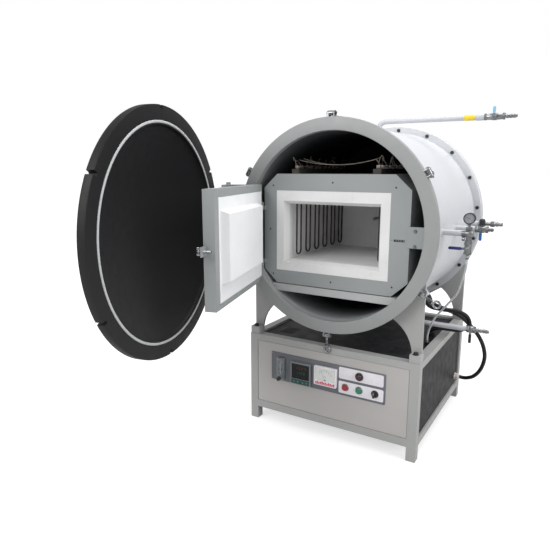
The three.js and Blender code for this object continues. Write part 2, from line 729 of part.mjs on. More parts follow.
function makeLug(degrees) {
  const ear = new THREE.Shape();
  ear.moveTo(LUG.rootRadius, LUG.pinY - LUG.earRadius);
  ear.lineTo(LUG.pinRadius, LUG.pinY - LUG.earRadius);
  ear.absarc(LUG.pinRadius, LUG.pinY, LUG.earRadius, -QUARTER_TURN, QUARTER_TURN);
  ear.lineTo(LUG.rootRadius, LUG.pinY + LUG.earRadius);
  const ears = [[-earTo, -LUG.earFrom], [LUG.earFrom, earTo]].map((along) => plateAlongZ(ear, along));
  const place = [LUG.pinRadius, LUG.pinY];
  const pin = rod("z", LUG.pin, [-earTo, earTo], place, ROUND.fine);
  const heads = [[-earTo - LUG.headHeight, -earTo + FIT.weld], [earTo - FIT.weld, earTo + LUG.headHeight]];
  return turnedAboutY(join(...ears, pin, ...heads.map((along) => rod("z", LUG.headRadius, along, place, 6))), degrees);
}

function makeFrontFlange() {
  const ring = ringAlongY([VESSEL.boreRadius, VESSEL.flangeRadius], [0, VESSEL.flangeThickness], ROUND.vessel);
  return join(ring, ...LUG.angles.map(makeLug));
}
addPiece(vesselGroup, "front_flange", makeFrontFlange(), COLOURS.flange, 0.45, 0.15);

const REAR = {
  boltCount: 18,
  boltFirst: 7.4,
  boltInset: 16,
  boltRadius: 8,
  boltHead: 8,
  coverFlange: 24,
  domeInset: 32,
  domeRise: 76,
  wall: 12,
  domeSteps: 4,
  bossRadius: 24,
  bossHeight: 12,
};
REAR.boltCircle = VESSEL.rearFlangeRadius - REAR.boltInset;
REAR.domeRadius = VESSEL.rearFlangeRadius - REAR.domeInset;
const rearFlangeBackY = VESSEL.rearFlangeY + VESSEL.rearFlangeThickness;

function boltRing([from, to]) {
  return around(REAR.boltCount, REAR.boltFirst, () => rod("x", REAR.boltRadius, [from, to], [0, 0], 6)
    .rotateZ(QUARTER_TURN).translate(REAR.boltCircle, 0, 0));
}

function makeRearFlange() {
  const ring = ringAlongY(
    [VESSEL.boreRadius, VESSEL.rearFlangeRadius], [VESSEL.rearFlangeY, rearFlangeBackY], ROUND.vessel,
  );
  return join(ring, ...boltRing([VESSEL.rearFlangeY - REAR.boltHead, VESSEL.rearFlangeY + FIT.weld]));
}
addPiece(vesselGroup, "rear_flange", makeRearFlange(), COLOURS.flange, 0.45, 0.15);

// Points of a shallow spherical dish from its rim in to the axis.
function dishArc(rimRadius, rimY, apexY, steps) {
  const rise = Math.abs(apexY - rimY);
  const sphere = (rimRadius ** 2 + rise ** 2) / (2 * rise);
  const sign = Math.sign(apexY - rimY);
  return Array.from({ length: steps + 1 }, (_, i) => {
    const radius = rimRadius * (1 - i / steps);
    return [radius, apexY - sign * (sphere - Math.sqrt(sphere ** 2 - radius ** 2))];
  });
}

const THERMOCOUPLE = {
  radius: 6,
  tipReach: 63,
  headRadius: 20,
  headLength: 34,
  capRadius: 15,
  capLength: 12,
};
const coverFaceY = rearFlangeBackY + FIT.gap;
const coverFlangeBackY = coverFaceY + REAR.coverFlange;
const coverApexY = coverFlangeBackY + REAR.domeRise;

function makeRearCover() {
  const outer = dishArc(REAR.domeRadius, coverFlangeBackY, coverApexY, REAR.domeSteps);
  const inner = dishArc(VESSEL.boreRadius, coverFaceY, coverApexY - REAR.wall, REAR.domeSteps).reverse();
  const profile = [
    ...inner, [VESSEL.rearFlangeRadius, coverFaceY], [VESSEL.rearFlangeRadius, coverFlangeBackY], ...outer,
  ];
  const dish = spin(profile, ROUND.vessel);
  const boss = rod("y", REAR.bossRadius, [coverApexY - REAR.wall, coverApexY + REAR.bossHeight]);
  const hole = clearance(
    "y", THERMOCOUPLE.radius, [coverApexY - 2 * REAR.bossRadius, coverApexY + 2 * REAR.bossRadius],
  );
  return cut(join(dish, boss), hole);
}
addPiece(vesselGroup, "rear_cover", makeRearCover(), COLOURS.shell, 0.4, 0.1);

// Inner box: octagonal steel casing, fibre lining, hairpin heaters and their terminals.
const BOX = {
  boreClearance: 6.668,
  floorInset: 123.5,
  roofInset: 157.5,
  chamferX: 60,
  chamferZ: 55,
  frontY: 30,
  backInset: 92,
  sheet: 3,
  innerChamferShare: 0.975,
  frameInsetX: [58, 74],
  frameInsetZ: [54, 65],
  recessInsetX: [33, 36],
  recessInsetZ: [33, 41],
  recessDepth: 28,
  recessTaper: 12,
  chamberBackInset: 87,
  skidX: [150, 190],
  skidHeight: 2.7,
  skidInset: 40,
  slotInset: [58, 18],
  slotZ: [-34, -26],
};
// The box's lower corners clear the bore; its face, recess and chamber follow from its width and height.
const inward = ([low, high], [fromLow, fromHigh]) => [low + fromLow, high - fromHigh];
BOX.bottom = BOX.floorInset - VESSEL.boreRadius;
BOX.top = VESSEL.boreRadius - BOX.roofInset;
BOX.halfWidth = Math.sqrt((VESSEL.boreRadius - BOX.boreClearance) ** 2 - (BOX.bottom + BOX.chamferZ) ** 2);
BOX.y = [BOX.frontY, beforeRear(BOX.backInset)];
BOX.frameX = inward([-BOX.halfWidth, BOX.halfWidth], BOX.frameInsetX);
BOX.frameZ = inward([BOX.bottom, BOX.top], BOX.frameInsetZ);
BOX.recessX = inward(BOX.frameX, BOX.recessInsetX);
BOX.recessZ = inward(BOX.frameZ, BOX.recessInsetZ);
BOX.chamberBackY = BOX.y[1] - BOX.chamberBackInset;
BOX.skidY = inward(BOX.y, [BOX.skidInset, BOX.skidInset]);
BOX.slotX = BOX.slotInset.map((inset) => BOX.halfWidth - inset);
const HEATER = {
  wallInset: 33,
  firstY: 98,
  lastInset: 25,
  count: 6,
  legOffset: 18,
  legRadius: 3.5,
  floorGap: 16,
  topRise: 40,
  sides: 6,
  bendSteps: 4,
  strapSheet: 3,
  strapWidth: 14,
  strapEnd: 7,
};
HEATER.leftX = BOX.recessX[0] + HEATER.wallInset;
HEATER.rightX = BOX.recessX[1] - HEATER.wallInset;
HEATER.pitch = (BOX.chamberBackY - HEATER.lastInset - HEATER.firstY) / (HEATER.count - 1);
HEATER.bottomZ = BOX.recessZ[0] + BOX.recessTaper + HEATER.floorGap;
HEATER.topZ = BOX.top + HEATER.topRise;
const INSULATOR = {
  halfWidth: 16,
  height: 18,
  margin: 34,
  slotHalf: 5.5,
};

function octagon(halfWidth, bottom, top, chamferX, chamferZ) {
  const inX = halfWidth - chamferX;
  return outlineOf([
    [-inX, bottom], [inX, bottom], [halfWidth, bottom + chamferZ], [halfWidth, top - chamferZ],
    [inX, top], [-inX, top], [-halfWidth, top - chamferZ], [-halfWidth, bottom + chamferZ],
  ]);
}

function boxSection(inset) {
  const share = inset > 0 ? BOX.innerChamferShare : 1;
  return octagon(
    BOX.halfWidth - inset, BOX.bottom + inset, BOX.top - inset, BOX.chamferX * share, BOX.chamferZ * share,
  );
}

const heaterXs = [HEATER.leftX, HEATER.rightX];
const heaterYs = Array.from({ length: HEATER.count }, (_, i) => HEATER.firstY + i * HEATER.pitch);
const insulatorY = [heaterYs[0] - INSULATOR.margin, heaterYs[HEATER.count - 1] + INSULATOR.margin];
const slotReach = HEATER.legOffset + INSULATOR.slotHalf;
const insulatorZ = [BOX.top + FIT.gap, BOX.top + FIT.gap + INSULATOR.height];
const strapZ = [insulatorZ[1] + FIT.gap, insulatorZ[1] + FIT.gap + HEATER.strapSheet];

// Inner-door hinge knuckles on the casing, each with the pin its door knuckle turns on.
const DOOR = {
  axisReach: 6,
  axisY: 22,
  faceY: 5,
  hingeGap: 24,
  freeEdgeInset: 68,
  thickness: 40,
  edgeInsetZ: [8, 42],
  cornerU: 45,
  cornerZ: 33,
  sheet: 3,
  fibreInsetU: [14, 32],
  fibreInsetZ: [21, 27],
  fibreProud: 2,
  plugPlayU: [4, 4],
  plugPlayZ: [2, 5],
  plugDepth: 27,
  plugTaper: 10,
  knuckleRadius: 5.5,
  pinRadius: 3,
  knuckleLength: 15,
  upperKnuckleDrop: 129,
  lowerKnuckleRise: 63,
  leafThickness: 5,
  boxLeafReach: 14,
};
DOOR.axis = [-BOX.halfWidth - DOOR.axisReach, DOOR.axisY];
DOOR.u = [DOOR.hingeGap, BOX.halfWidth - DOOR.freeEdgeInset - DOOR.axis[0]];
DOOR.z = inward([BOX.bottom, BOX.top], DOOR.edgeInsetZ);
DOOR.fibreU = inward(DOOR.u, DOOR.fibreInsetU);
DOOR.fibreZ = inward(DOOR.z, DOOR.fibreInsetZ);
DOOR.plugU = inward(BOX.recessX, DOOR.plugPlayU).map((x) => x - DOOR.axis[0]);
DOOR.plugZ = inward(BOX.recessZ, DOOR.plugPlayZ);
DOOR.upperKnuckleZ = BOX.top - DOOR.upperKnuckleDrop;
DOOR.lowerKnuckleZ = BOX.bottom + DOOR.lowerKnuckleRise;

function makeBoxKnuckle(z, pinUp) {
  const [x, y] = DOOR.axis;
  const barrel = rod("z", DOOR.knuckleRadius, [z, z + DOOR.knuckleLength], [x, y], ROUND.small);
  const pinReach = DOOR.knuckleLength + 2 * FIT.gap;
  const pinZ = pinUp ? [z, z + DOOR.knuckleLength + pinReach] : [z - pinReach, z + DOOR.knuckleLength];
  const pin = rod("z", DOOR.pinRadius, pinZ, [x, y], ROUND.small);
  const leaf = span([x, x + DOOR.boxLeafReach], [y, BOX.y[0] + BOX.sheet], [z, z + DOOR.knuckleLength]);
  return join(barrel, pin, leaf);
}

function makeCasing() {
  const inner = [BOX.y[0] + BOX.sheet, BOX.y[1] - BOX.sheet];
  const body = cut(plateAlongY(boxSection(0), BOX.y), plateAlongY(boxSection(BOX.sheet), inner));
  const window = span(BOX.frameX, [BOX.y[0] - FIT.cut, inner[0] + FIT.cut], BOX.frameZ);
  const slots = heaterXs.map((x) => span(
    [x - INSULATOR.slotHalf, x + INSULATOR.slotHalf],
    [heaterYs[0] - slotReach, heaterYs[HEATER.count - 1] + slotReach],
    [BOX.top - BOX.sheet - FIT.cut, BOX.top + FIT.cut],
  ));
  const latchSlot = span(BOX.slotX, [BOX.y[0] - FIT.cut, BOX.y[0] + BOX.sheet + FIT.cut], BOX.slotZ);
  const back = clearance("y", THERMOCOUPLE.radius, [inner[1] - FIT.cut, BOX.y[1] + FIT.cut]);
  const skids = [-1, 1].map((side) => span(
    BOX.skidX.map((x) => side * x).sort((a, b) => a - b), BOX.skidY, [BOX.bottom - BOX.skidHeight, BOX.bottom + FIT.weld],
  ));
  const knuckles = [
    makeBoxKnuckle(DOOR.upperKnuckleZ - FIT.gap - DOOR.knuckleLength, true),
    makeBoxKnuckle(DOOR.lowerKnuckleZ + FIT.gap + DOOR.knuckleLength, false),
  ];
  return join(cut(body, window, ...slots, latchSlot, back), ...skids, ...knuckles);
}
addPiece(vesselGroup, "furnace_box", makeCasing(), COLOURS.box, 0.5, 0.15);

// A tapered plug or recess along Y between two rectangles.
function taperedBlock([x0, x1], [z0, z1], [from, to], taper) {
  const near = [[x0, z0], [x1, z0], [x1, z1], [x0, z1]];
  const far = [[x0 + taper, z0 + taper], [x1 - taper, z0 + taper], [x1 - taper, z1 - taper], [x0 + taper, z1 - taper]];
  const corners = [...near.map(([x, z]) => [x, from, z]), ...far.map(([x, z]) => [x, to, z])];
  const faces = [
    [0, 1, 2], [0, 2, 3], [4, 6, 5], [4, 7, 6], [0, 5, 1], [0, 4, 5],
    [1, 6, 2], [1, 5, 6], [2, 7, 3], [2, 6, 7], [3, 4, 0], [3, 7, 4],
  ];
  const geometry = new THREE.BufferGeometry();
  geometry.setAttribute("position", new THREE.BufferAttribute(new Float32Array(corners.flat()), 3));
  geometry.setAttribute("normal", new THREE.BufferAttribute(new Float32Array(corners.flat()), 3));
  geometry.setAttribute("uv", new THREE.BufferAttribute(new Float32Array(corners.length * 2), 2));
  geometry.setIndex(faces.flat());
  return geometry;
}

const chamberY = [BOX.y[0] + BOX.recessDepth, BOX.chamberBackY];
const chamberX = [BOX.recessX[0] + BOX.recessTaper, BOX.recessX[1] - BOX.recessTaper];
const chamberZ = [BOX.recessZ[0] + BOX.recessTaper, BOX.recessZ[1] - BOX.recessTaper];

function makeLining() {
  const inset = BOX.sheet + FIT.gap;
  const body = plateAlongY(boxSection(inset), [BOX.y[0] + inset, BOX.y[1] - inset]);
  const frame = span(
    [BOX.frameX[0] + FIT.gap, BOX.frameX[1] - FIT.gap], [BOX.y[0], BOX.y[0] + inset + FIT.weld],
    [BOX.frameZ[0] + FIT.gap, BOX.frameZ[1] - FIT.gap],
  );
  const recess = taperedBlock(BOX.recessX, BOX.recessZ, [BOX.y[0], chamberY[0]], BOX.recessTaper);
  const chamber = span(chamberX, [chamberY[0] - FIT.weld, chamberY[1]], chamberZ);
  const slots = heaterXs.flatMap((x) => heaterYs.map((y) => span(
    [x - INSULATOR.slotHalf, x + INSULATOR.slotHalf],
    [y - slotReach, y + slotReach],
    [chamberZ[1] - FIT.cut, BOX.top + FIT.cut],
  )));
  const sensor = clearance("y", THERMOCOUPLE.radius, [chamberY[1] - FIT.cut, BOX.y[1]]);
  return cut(join(body, frame), recess, chamber, ...slots, sensor);
}
addPiece(vesselGroup, "chamber_lining", makeLining(), COLOURS.fibre, 0.95, 0);

// One row of hairpins in series: legs, bends, clamps and the straps between neighbours.
function makeHairpin(x, y) {
  const bendZ = HEATER.bottomZ + HEATER.legOffset;
  const bendPoints = Array.from({ length: HEATER.bendSteps + 1 }, (_, i) => {
    const turn = HALF_TURN + HALF_TURN * i / HEATER.bendSteps;
    return new THREE.Vector3(x, y + HEATER.legOffset * Math.cos(turn), bendZ + HEATER.legOffset * Math.sin(turn));
  });
  const route = [
    new THREE.Vector3(x, y - HEATER.legOffset, HEATER.topZ), ...bendPoints,
    new THREE.Vector3(x, y + HEATER.legOffset, HEATER.topZ),
  ];
  return sweepThrough(route, new THREE.Vector3(1, 0, 0), HEATER.legRadius, HEATER.sides);
}

// A tube whose rings stand exactly at the given points, mitred between them; across is normal to its plane.
function sweepThrough(route, across, radius, sides) {
  const rings = route.map((point, i) => {
    const before = route[Math.max(i - 1, 0)];
    const after = route[Math.min(i + 1, route.length - 1)];
    const into = point.clone().sub(before).normalize();
    const out = after.clone().sub(point).normalize();
    const along = into.clone().add(out).normalize();
    const half = i === 0 || i === route.length - 1 ? 1 : into.dot(along);
    const up = new THREE.Vector3().crossVectors(across, along);
    return Array.from({ length: sides }, (_, k) => {
      const turn = 2 * HALF_TURN * (k + 1 / 2) / sides;
      return point.clone()
        .addScaledVector(across, radius * Math.cos(turn))
        .addScaledVector(up, radius * Math.sin(turn) / half);
    });
  });
  const points = rings.flat();
  const faces = [];
  for (let i = 1; i < rings.length; i += 1) {
    for (let k = 0; k < sides; k += 1) {
      const next = (k + 1) % sides;
      const [a, b, c, d] = [(i - 1) * sides + k, (i - 1) * sides + next, i * sides + next, i * sides + k];
      faces.push(a, c, b, a, d, c);
    }
  }
  const last = (rings.length - 1) * sides;
  for (let k = 1; k < sides - 1; k += 1) {
    faces.push(0, k, k + 1, last, last + k + 1, last + k);
  }
  const geometry = new THREE.BufferGeometry();
  const flat = points.flatMap((point) => [point.x, point.y, point.z]);
  geometry.setAttribute("position", new THREE.BufferAttribute(new Float32Array(flat), 3));
  geometry.setAttribute("normal", new THREE.BufferAttribute(new Float32Array(flat), 3));
  geometry.setAttribute("uv", new THREE.BufferAttribute(new Float32Array(points.length * 2), 2));
  geometry.setIndex(faces);
  return geometry;
}

function makeHeaters(x) {
  const hairpins = heaterYs.map((y) => makeHairpin(x, y));
  const half = HEATER.strapWidth / 2;
  const straps = heaterYs.slice(1).map((y) => span(
    [x - half, x + half],
    [y - HEATER.pitch + HEATER.legOffset - HEATER.strapEnd, y - HEATER.legOffset + HEATER.strapEnd],
    strapZ,
  ));
  return join(...hairpins, ...straps);
}
addPiece(vesselGroup, "left_heating_elements", makeHeaters(HEATER.leftX), COLOURS.element, 0.6, 0.3);
addPiece(vesselGroup, "right_heating_elements", makeHeaters(HEATER.rightX), COLOURS.element, 0.6, 0.3);

function makeTerminals(x) {
  const bar = span([x - INSULATOR.halfWidth, x + INSULATOR.halfWidth], insulatorY, insulatorZ);
  const slots = heaterYs.map((y) => span(
    [x - INSULATOR.slotHalf, x + INSULATOR.slotHalf],
    [y - slotReach, y + slotReach],
    [insulatorZ[0] - FIT.cut, insulatorZ[1] + FIT.cut],
  ));
  return cut(bar, ...slots);
}
addPiece(vesselGroup, "left_terminals", makeTerminals(HEATER.leftX), COLOURS.ceramic, 0.8, 0);
addPiece(vesselGroup, "right_terminals", makeTerminals(HEATER.rightX), COLOURS.ceramic, 0.8, 0);

function makeThermocouple() {
  const headY = coverApexY + REAR.bossHeight + FIT.gap;
  const tipY = BOX.chamberBackY - THERMOCOUPLE.tipReach;
  const sheath = rod("y", THERMOCOUPLE.radius, [tipY, headY + THERMOCOUPLE.headLength / 2], [0, 0], ROUND.small);
  const head = rod("y", THERMOCOUPLE.headRadius, [headY, headY + THERMOCOUPLE.headLength], [0, 0], ROUND.medium);
  const capEnd = headY + THERMOCOUPLE.headLength + THERMOCOUPLE.capLength;
  const cap = rod("y", THERMOCOUPLE.capRadius, [capEnd - THERMOCOUPLE.capLength - FIT.weld, capEnd], [0, 0], ROUND.medium);
  return join(sheath, head, cap);
}
addPiece(vesselGroup, "thermocouple", makeThermocouple(), COLOURS.steel, 0.35, 0.8);

// Shelf frame that carries the inner box across the bore, and the bracket beside the box.
const SHELF = {
  boxInset: 42,
  boxDrop: [32.6, 3],
  frontReach: 3,
  backInset: 20,
  bar: 40,
};
SHELF.halfWidth = BOX.halfWidth - SHELF.boxInset;
SHELF.z = SHELF.boxDrop.map((drop) => BOX.bottom - drop);
SHELF.y = [BOX.y[0] - SHELF.frontReach, BOX.y[1] - SHELF.backInset];
const BRACKET = {
  boxOverlap: 8,
  boreInset: 9.5,
  z: [-53, 23],
  sheet: 4,
  fold: 30,
  screwReach: 20,
  screwZ: [8, -47],
  screwRadius: 5,
  screwRise: 2.5,
};
BRACKET.x = [BOX.halfWidth - BRACKET.boxOverlap, VESSEL.boreRadius - BRACKET.boreInset];
BRACKET.screwX = BOX.halfWidth + BRACKET.screwReach;
const boreFit = VESSEL.boreRadius - FIT.gap;

function makeShelf() {
  const outer = span([-SHELF.halfWidth, SHELF.halfWidth], SHELF.y, SHELF.z);
  const inner = span(
    [-SHELF.halfWidth + 2 * SHELF.bar, SHELF.halfWidth - 2 * SHELF.bar], [SHELF.y[0] + SHELF.bar, SHELF.y[1] - SHELF.bar],
    [SHELF.z[0] - FIT.cut, SHELF.z[1] + FIT.cut],
  );
  const bore = rod("y", boreFit, [SHELF.y[0] - FIT.cut, SHELF.y[1] + FIT.cut], [0, 0], ROUND.vessel);
  return common(cut(outer, inner), bore);
}
addPiece(vesselGroup, "box_shelf", makeShelf(), COLOURS.box, 0.5, 0.15);

function makeBracket() {
  const faceY = BOX.y[0] - FIT.gap;
  const plate = span(BRACKET.x, [faceY - BRACKET.sheet, faceY], BRACKET.z);
  const fold = span([BRACKET.x[1] - BRACKET.sheet, VESSEL.boreRadius], [faceY - BRACKET.sheet, faceY + BRACKET.fold], BRACKET.z);
  const bore = rod("y", boreFit, [faceY - FIT.cut * 2, faceY + BRACKET.fold + FIT.cut], [0, 0], ROUND.vessel);
  const heads = BRACKET.screwZ.map((z) => rod(
    "y", BRACKET.screwRadius, [faceY - BRACKET.sheet - BRACKET.screwRise, faceY - BRACKET.sheet + FIT.weld],
    [BRACKET.screwX, z], 8,
  ));
  return join(common(join(plate, fold), bore), ...heads);
}
addPiece(vesselGroup, "box_bracket", makeBracket(), COLOURS.box, 0.5, 0.15);

// Inner door, drawn closed about its own hinge axis: u runs from the hinge to the free edge.
const doorGroup = new THREE.Group();
doorGroup.position.set(DOOR.axis[0], DOOR.axis[1], 0);
doorGroup.rotation.z = -OPEN_ANGLES.door * DEGREE;
vesselGroup.add(doorGroup);

const doorOuterY = DOOR.faceY - DOOR.thickness;

function doorOutline([u0, u1], [z0, z1], cornerU, cornerZ) {
  return outlineOf([[u0 + cornerU, z0], [u1, z0], [u1, z1], [u0, z1], [u0, z0 + cornerZ]]);
}

const LATCH = {
  z: -30,
  bracketReach: [-6, 38],
  bracketHalf: 16,
  bracketSheet: 5,
  bracketFromOuter: 5,
  screwReach: 22,
  screwRadius: 5,
  screwLength: 52,
  collarRadius: 8,
  collarLength: 4,
  wingHalf: 14,
  wingSheet: 4,
  wingLength: 14,
};
LATCH.bracketU = LATCH.bracketReach.map((reach) => DOOR.u[1] + reach);
LATCH.screwU = DOOR.u[1] + LATCH.screwReach;
const latchPlateY = [doorOuterY + LATCH.bracketFromOuter, doorOuterY + LATCH.bracketFromOuter + LATCH.bracketSheet];

function makeDoorShell() {
  const pan = plateAlongY(doorOutline(DOOR.u, DOOR.z, DOOR.cornerU, DOOR.cornerZ), [doorOuterY, DOOR.faceY]);
  const well = span(DOOR.fibreU, [doorOuterY + DOOR.sheet, DOOR.faceY + FIT.cut], DOOR.fibreZ);
  const knuckles = [DOOR.upperKnuckleZ, DOOR.lowerKnuckleZ].map((z) => {
    const along = [z, z + DOOR.knuckleLength];
    const barrel = rod("z", DOOR.knuckleRadius, along, [0, 0], ROUND.small);
    const leaf = span([0, DOOR.u[0] + FIT.weld], [-DOOR.knuckleRadius, -DOOR.knuckleRadius + DOOR.leafThickness], along);
    const hole = clearance("z", DOOR.pinRadius, [along[0] - FIT.cut, along[1] + FIT.cut]);
    return cut(join(barrel, leaf), hole);
  });
  const latchPlate = span(LATCH.bracketU, latchPlateY, [LATCH.z - LATCH.bracketHalf, LATCH.z + LATCH.bracketHalf]);
  const latchHole = clearance(
    "y", LATCH.screwRadius, [latchPlateY[0] - FIT.cut, latchPlateY[1] + FIT.cut], [LATCH.screwU, LATCH.z],
  );
  return join(cut(pan, well), cut(latchPlate, latchHole), ...knuckles);
}
addPiece(doorGroup, "inner_door_shell", makeDoorShell(), COLOURS.box, 0.45, 0.15);

function makeDoorFibre() {
  const slab = span(
    [DOOR.fibreU[0] + FIT.gap, DOOR.fibreU[1] - FIT.gap], [doorOuterY + DOOR.sheet + FIT.gap, DOOR.faceY + DOOR.fibreProud],
    [DOOR.fibreZ[0] + FIT.gap, DOOR.fibreZ[1] - FIT.gap],
  );
  const plugRoot = DOOR.faceY + DOOR.fibreProud;
  const plug = taperedBlock(DOOR.plugU, DOOR.plugZ, [plugRoot - FIT.weld, plugRoot + DOOR.plugDepth], DOOR.plugTaper);
  return join(slab, plug);
}
addPiece(doorGroup, "inner_door_fibre", makeDoorFibre(), COLOURS.fibre, 0.95, 0);

function makeLatchScrew() {
  const place = [LATCH.screwU, LATCH.z];
  const collars = [
    [latchPlateY[0] - FIT.gap - LATCH.collarLength, latchPlateY[0] - FIT.gap],
    [latchPlateY[1] + FIT.gap, latchPlateY[1] + FIT.gap + LATCH.collarLength],
  ].map((along) => rod("y", LATCH.collarRadius, along, place, ROUND.small));
  const tipY = latchPlateY[1] + LATCH.screwLength / 2;
  const screw = rod("y", LATCH.screwRadius, [tipY - LATCH.screwLength, tipY], place, ROUND.small);
  const wingY = [tipY - LATCH.screwLength, tipY - LATCH.screwLength + LATCH.wingLength];
  const wing = span(
    [LATCH.screwU - LATCH.wingSheet / 2, LATCH.screwU + LATCH.wingSheet / 2], wingY,
    [LATCH.z - LATCH.wingHalf, LATCH.z + LATCH.wingHalf],
  );
  return join(screw, wing, ...collars);
}
addPiece(doorGroup, "door_latch_screw", makeLatchScrew(), COLOURS.chrome, 0.2, 0.9);

// Lid, drawn closed about its own hinge axis.
const LID = {
  axisReach: 121.1,
  axisY: 25,
  lip: 68.5,
  faceY: -2.3,
  thickness: 28,
  gasketLip: [9.5, 19.5],
  grooveDepth: 5,
  gasketProud: 2,
  innerLip: 4.5,
  innerStraight: 12,
  innerDepth: 95,
  outerLip: 24.5,
  outerDepth: 115,
  edge: 1.5,
  dishSteps: 4,
  notchWidth: 13,
  notchDepth: 16,
};
LID.axis = [-pastBore(LID.axisReach), LID.axisY];
LID.radius = pastBore(LID.lip);
LID.gasket = LID.gasketLip.map(pastBore);
LID.innerRim = pastBore(LID.innerLip);
LID.outerRim = pastBore(LID.outerLip);
LID.notchRadius = LID.radius - LID.notchDepth;
const lidBackY = LID.faceY - LID.thickness;
const lidGroup = new THREE.Group();
lidGroup.position.set(LID.axis[0], LID.axis[1], 0);
lidGroup.rotation.z = -OPEN_ANGLES.lid * DEGREE;
vesselGroup.add(lidGroup);
const lidPieces = new THREE.Group();
lidPieces.position.set(-LID.axis[0], -LID.axis[1], 0);
lidGroup.add(lidPieces);

function makeLid() {
  const inner = dishArc(LID.innerRim, LID.faceY - LID.innerStraight, LID.faceY - LID.innerDepth, LID.dishSteps);
  const outer = dishArc(LID.outerRim, lidBackY, -LID.outerDepth, LID.dishSteps).reverse();
  const profile = [
    ...outer, [LID.radius - LID.edge, lidBackY], [LID.radius, lidBackY + LID.edge],
    [LID.radius, LID.faceY - LID.edge], [LID.radius - LID.edge, LID.faceY],
    [LID.gasket[1], LID.faceY], [LID.gasket[1], LID.faceY - LID.grooveDepth],
    [LID.gasket[0], LID.faceY - LID.grooveDepth], [LID.gasket[0], LID.faceY], [LID.innerRim, LID.faceY], ...inner,
  ];
  const half = LID.notchWidth / 2;
  const along = [lidBackY - FIT.cut, LID.faceY + FIT.cut];
  const notches = LUG.angles.map((degrees) => turnedAboutY(join(
    span([LID.notchRadius + half, LID.radius + FIT.cut], along, [-half, half]),
    rod("y", half, along, [LID.notchRadius + half, 0], ROUND.small),
  ), degrees));
  return cut(spin(profile, ROUND.vessel), ...notches);
}
addPiece(lidPieces, "lid_shell", makeLid(), COLOURS.lid, 0.55, 0.1);

function makeGasket() {
  const section = [LID.gasket[0] + FIT.gap, LID.gasket[1] - FIT.gap];
  const along = [LID.faceY - LID.grooveDepth + FIT.gap, LID.faceY + LID.gasketProud];
  return ringAlongY(section, along, ROUND.vessel);
}
addPiece(lidPieces, "lid_gasket", makeGasket(), COLOURS.gasket, 0.7, 0);

// Lid hinge: a long barrel with two straps on the lid, turning on the pin of the vessel's bracket.
const HINGE = {
  pinRadius: 10,
  barrelRadius: 18,
  barrelHalf: 141.7,
  plateZ: [142, 158],
  strapZ: 90,
  strapWidth: 46,
  strapSheet: 14,
  strapLength: 90.6,
  plateReach: 21.4,
  plateRootDepth: 57,
  plateY: [4, 92],
  plateSlopeY: 44,
};
HINGE.strapReach = LID.axis[0] + HINGE.strapLength;
HINGE.plateX = [LID.axis[0] - HINGE.plateReach, -pastShell(-HINGE.plateRootDepth)];

function makeHingeArm() {
  const [x, y] = LID.axis;
  const barrel = rod("z", HINGE.barrelRadius, [-HINGE.barrelHalf, HINGE.barrelHalf], [x, y], ROUND.medium);
  const half = HINGE.strapWidth / 2;
  const strapBackY = lidBackY - FIT.gap - HINGE.strapSheet;
  const straps = [-1, 1].flatMap((side) => {
    const z = [side * HINGE.strapZ - half, side * HINGE.strapZ + half];
    return [
      span([x - HINGE.barrelRadius, x + HINGE.barrelRadius - HINGE.strapSheet / 2], [strapBackY, y], z),
      span([x - HINGE.barrelRadius, HINGE.strapReach], [strapBackY, lidBackY - FIT.gap], z),
    ];
  });
  const hole = clearance("z", HINGE.pinRadius, [-2 * HINGE.barrelHalf, 2 * HINGE.barrelHalf], [x, y], ROUND.medium);
  return cut(join(barrel, ...straps), hole);
}
addPiece(lidPieces, "lid_hinge_arm", makeHingeArm(), COLOURS.lid, 0.5, 0.15);

function makeHingeBracket() {
  const [x, y] = LID.axis;
  const outline = outlineOf([
    [HINGE.plateX[0], HINGE.plateY[0]], [HINGE.plateX[1], HINGE.plateY[0]], [HINGE.plateX[1], HINGE.plateY[1]],
    [x + HINGE.barrelRadius, HINGE.plateY[1]], [HINGE.plateX[0], HINGE.plateSlopeY],
  ]);
  const plates = [[-HINGE.plateZ[1], -HINGE.plateZ[0]], HINGE.plateZ].map((along) => plateAlongZ(outline, along));
  const pin = rod("z", HINGE.pinRadius, [-HINGE.plateZ[1] - HINGE.pinRadius, HINGE.plateZ[1] + HINGE.pinRadius], [x, y]);
  const flange = rod("y", VESSEL.flangeRadius + FIT.gap, [-FIT.cut, shellY[0]], [0, 0], ROUND.vessel);
  const shell = rod("y", VESSEL.shellRadius + FIT.gap, [0, 2 * HINGE.plateY[1]], [0, 0], ROUND.vessel);
  return cut(join(...plates, pin), flange, shell);
}
addPiece(vesselGroup, "lid_hinge_bracket", makeHingeBracket(), COLOURS.flange, 0.45, 0.15);

// Swing bolts, drawn closed along -Y from the lug pin and then laid open.
const BOLT = {
  eyeRadius: 9.5,
  eyeHalf: 8,
  rodRadius: 5,
  collarFrom: 40.6,
  collarRadius: 11,
  collarLength: 6,
  ringFrom: 58.6,
  ringRadius: 12.5,
  ringWire: 4,
  ringSides: 6,
  ringSteps: 16,
  openHanging: 90,
  openLaidBack: 190,
};
const SWING_BOLTS = [
  ["swing_bolt_upper_right", BOLT.openLaidBack],
  ["swing_bolt_top", BOLT.openLaidBack],
  ["swing_bolt_upper_left", BOLT.openLaidBack],
  ["swing_bolt_lower_left", BOLT.openHanging],
  ["swing_bolt_bottom", BOLT.openHanging],
  ["swing_bolt_lower_right", BOLT.openHanging],
];

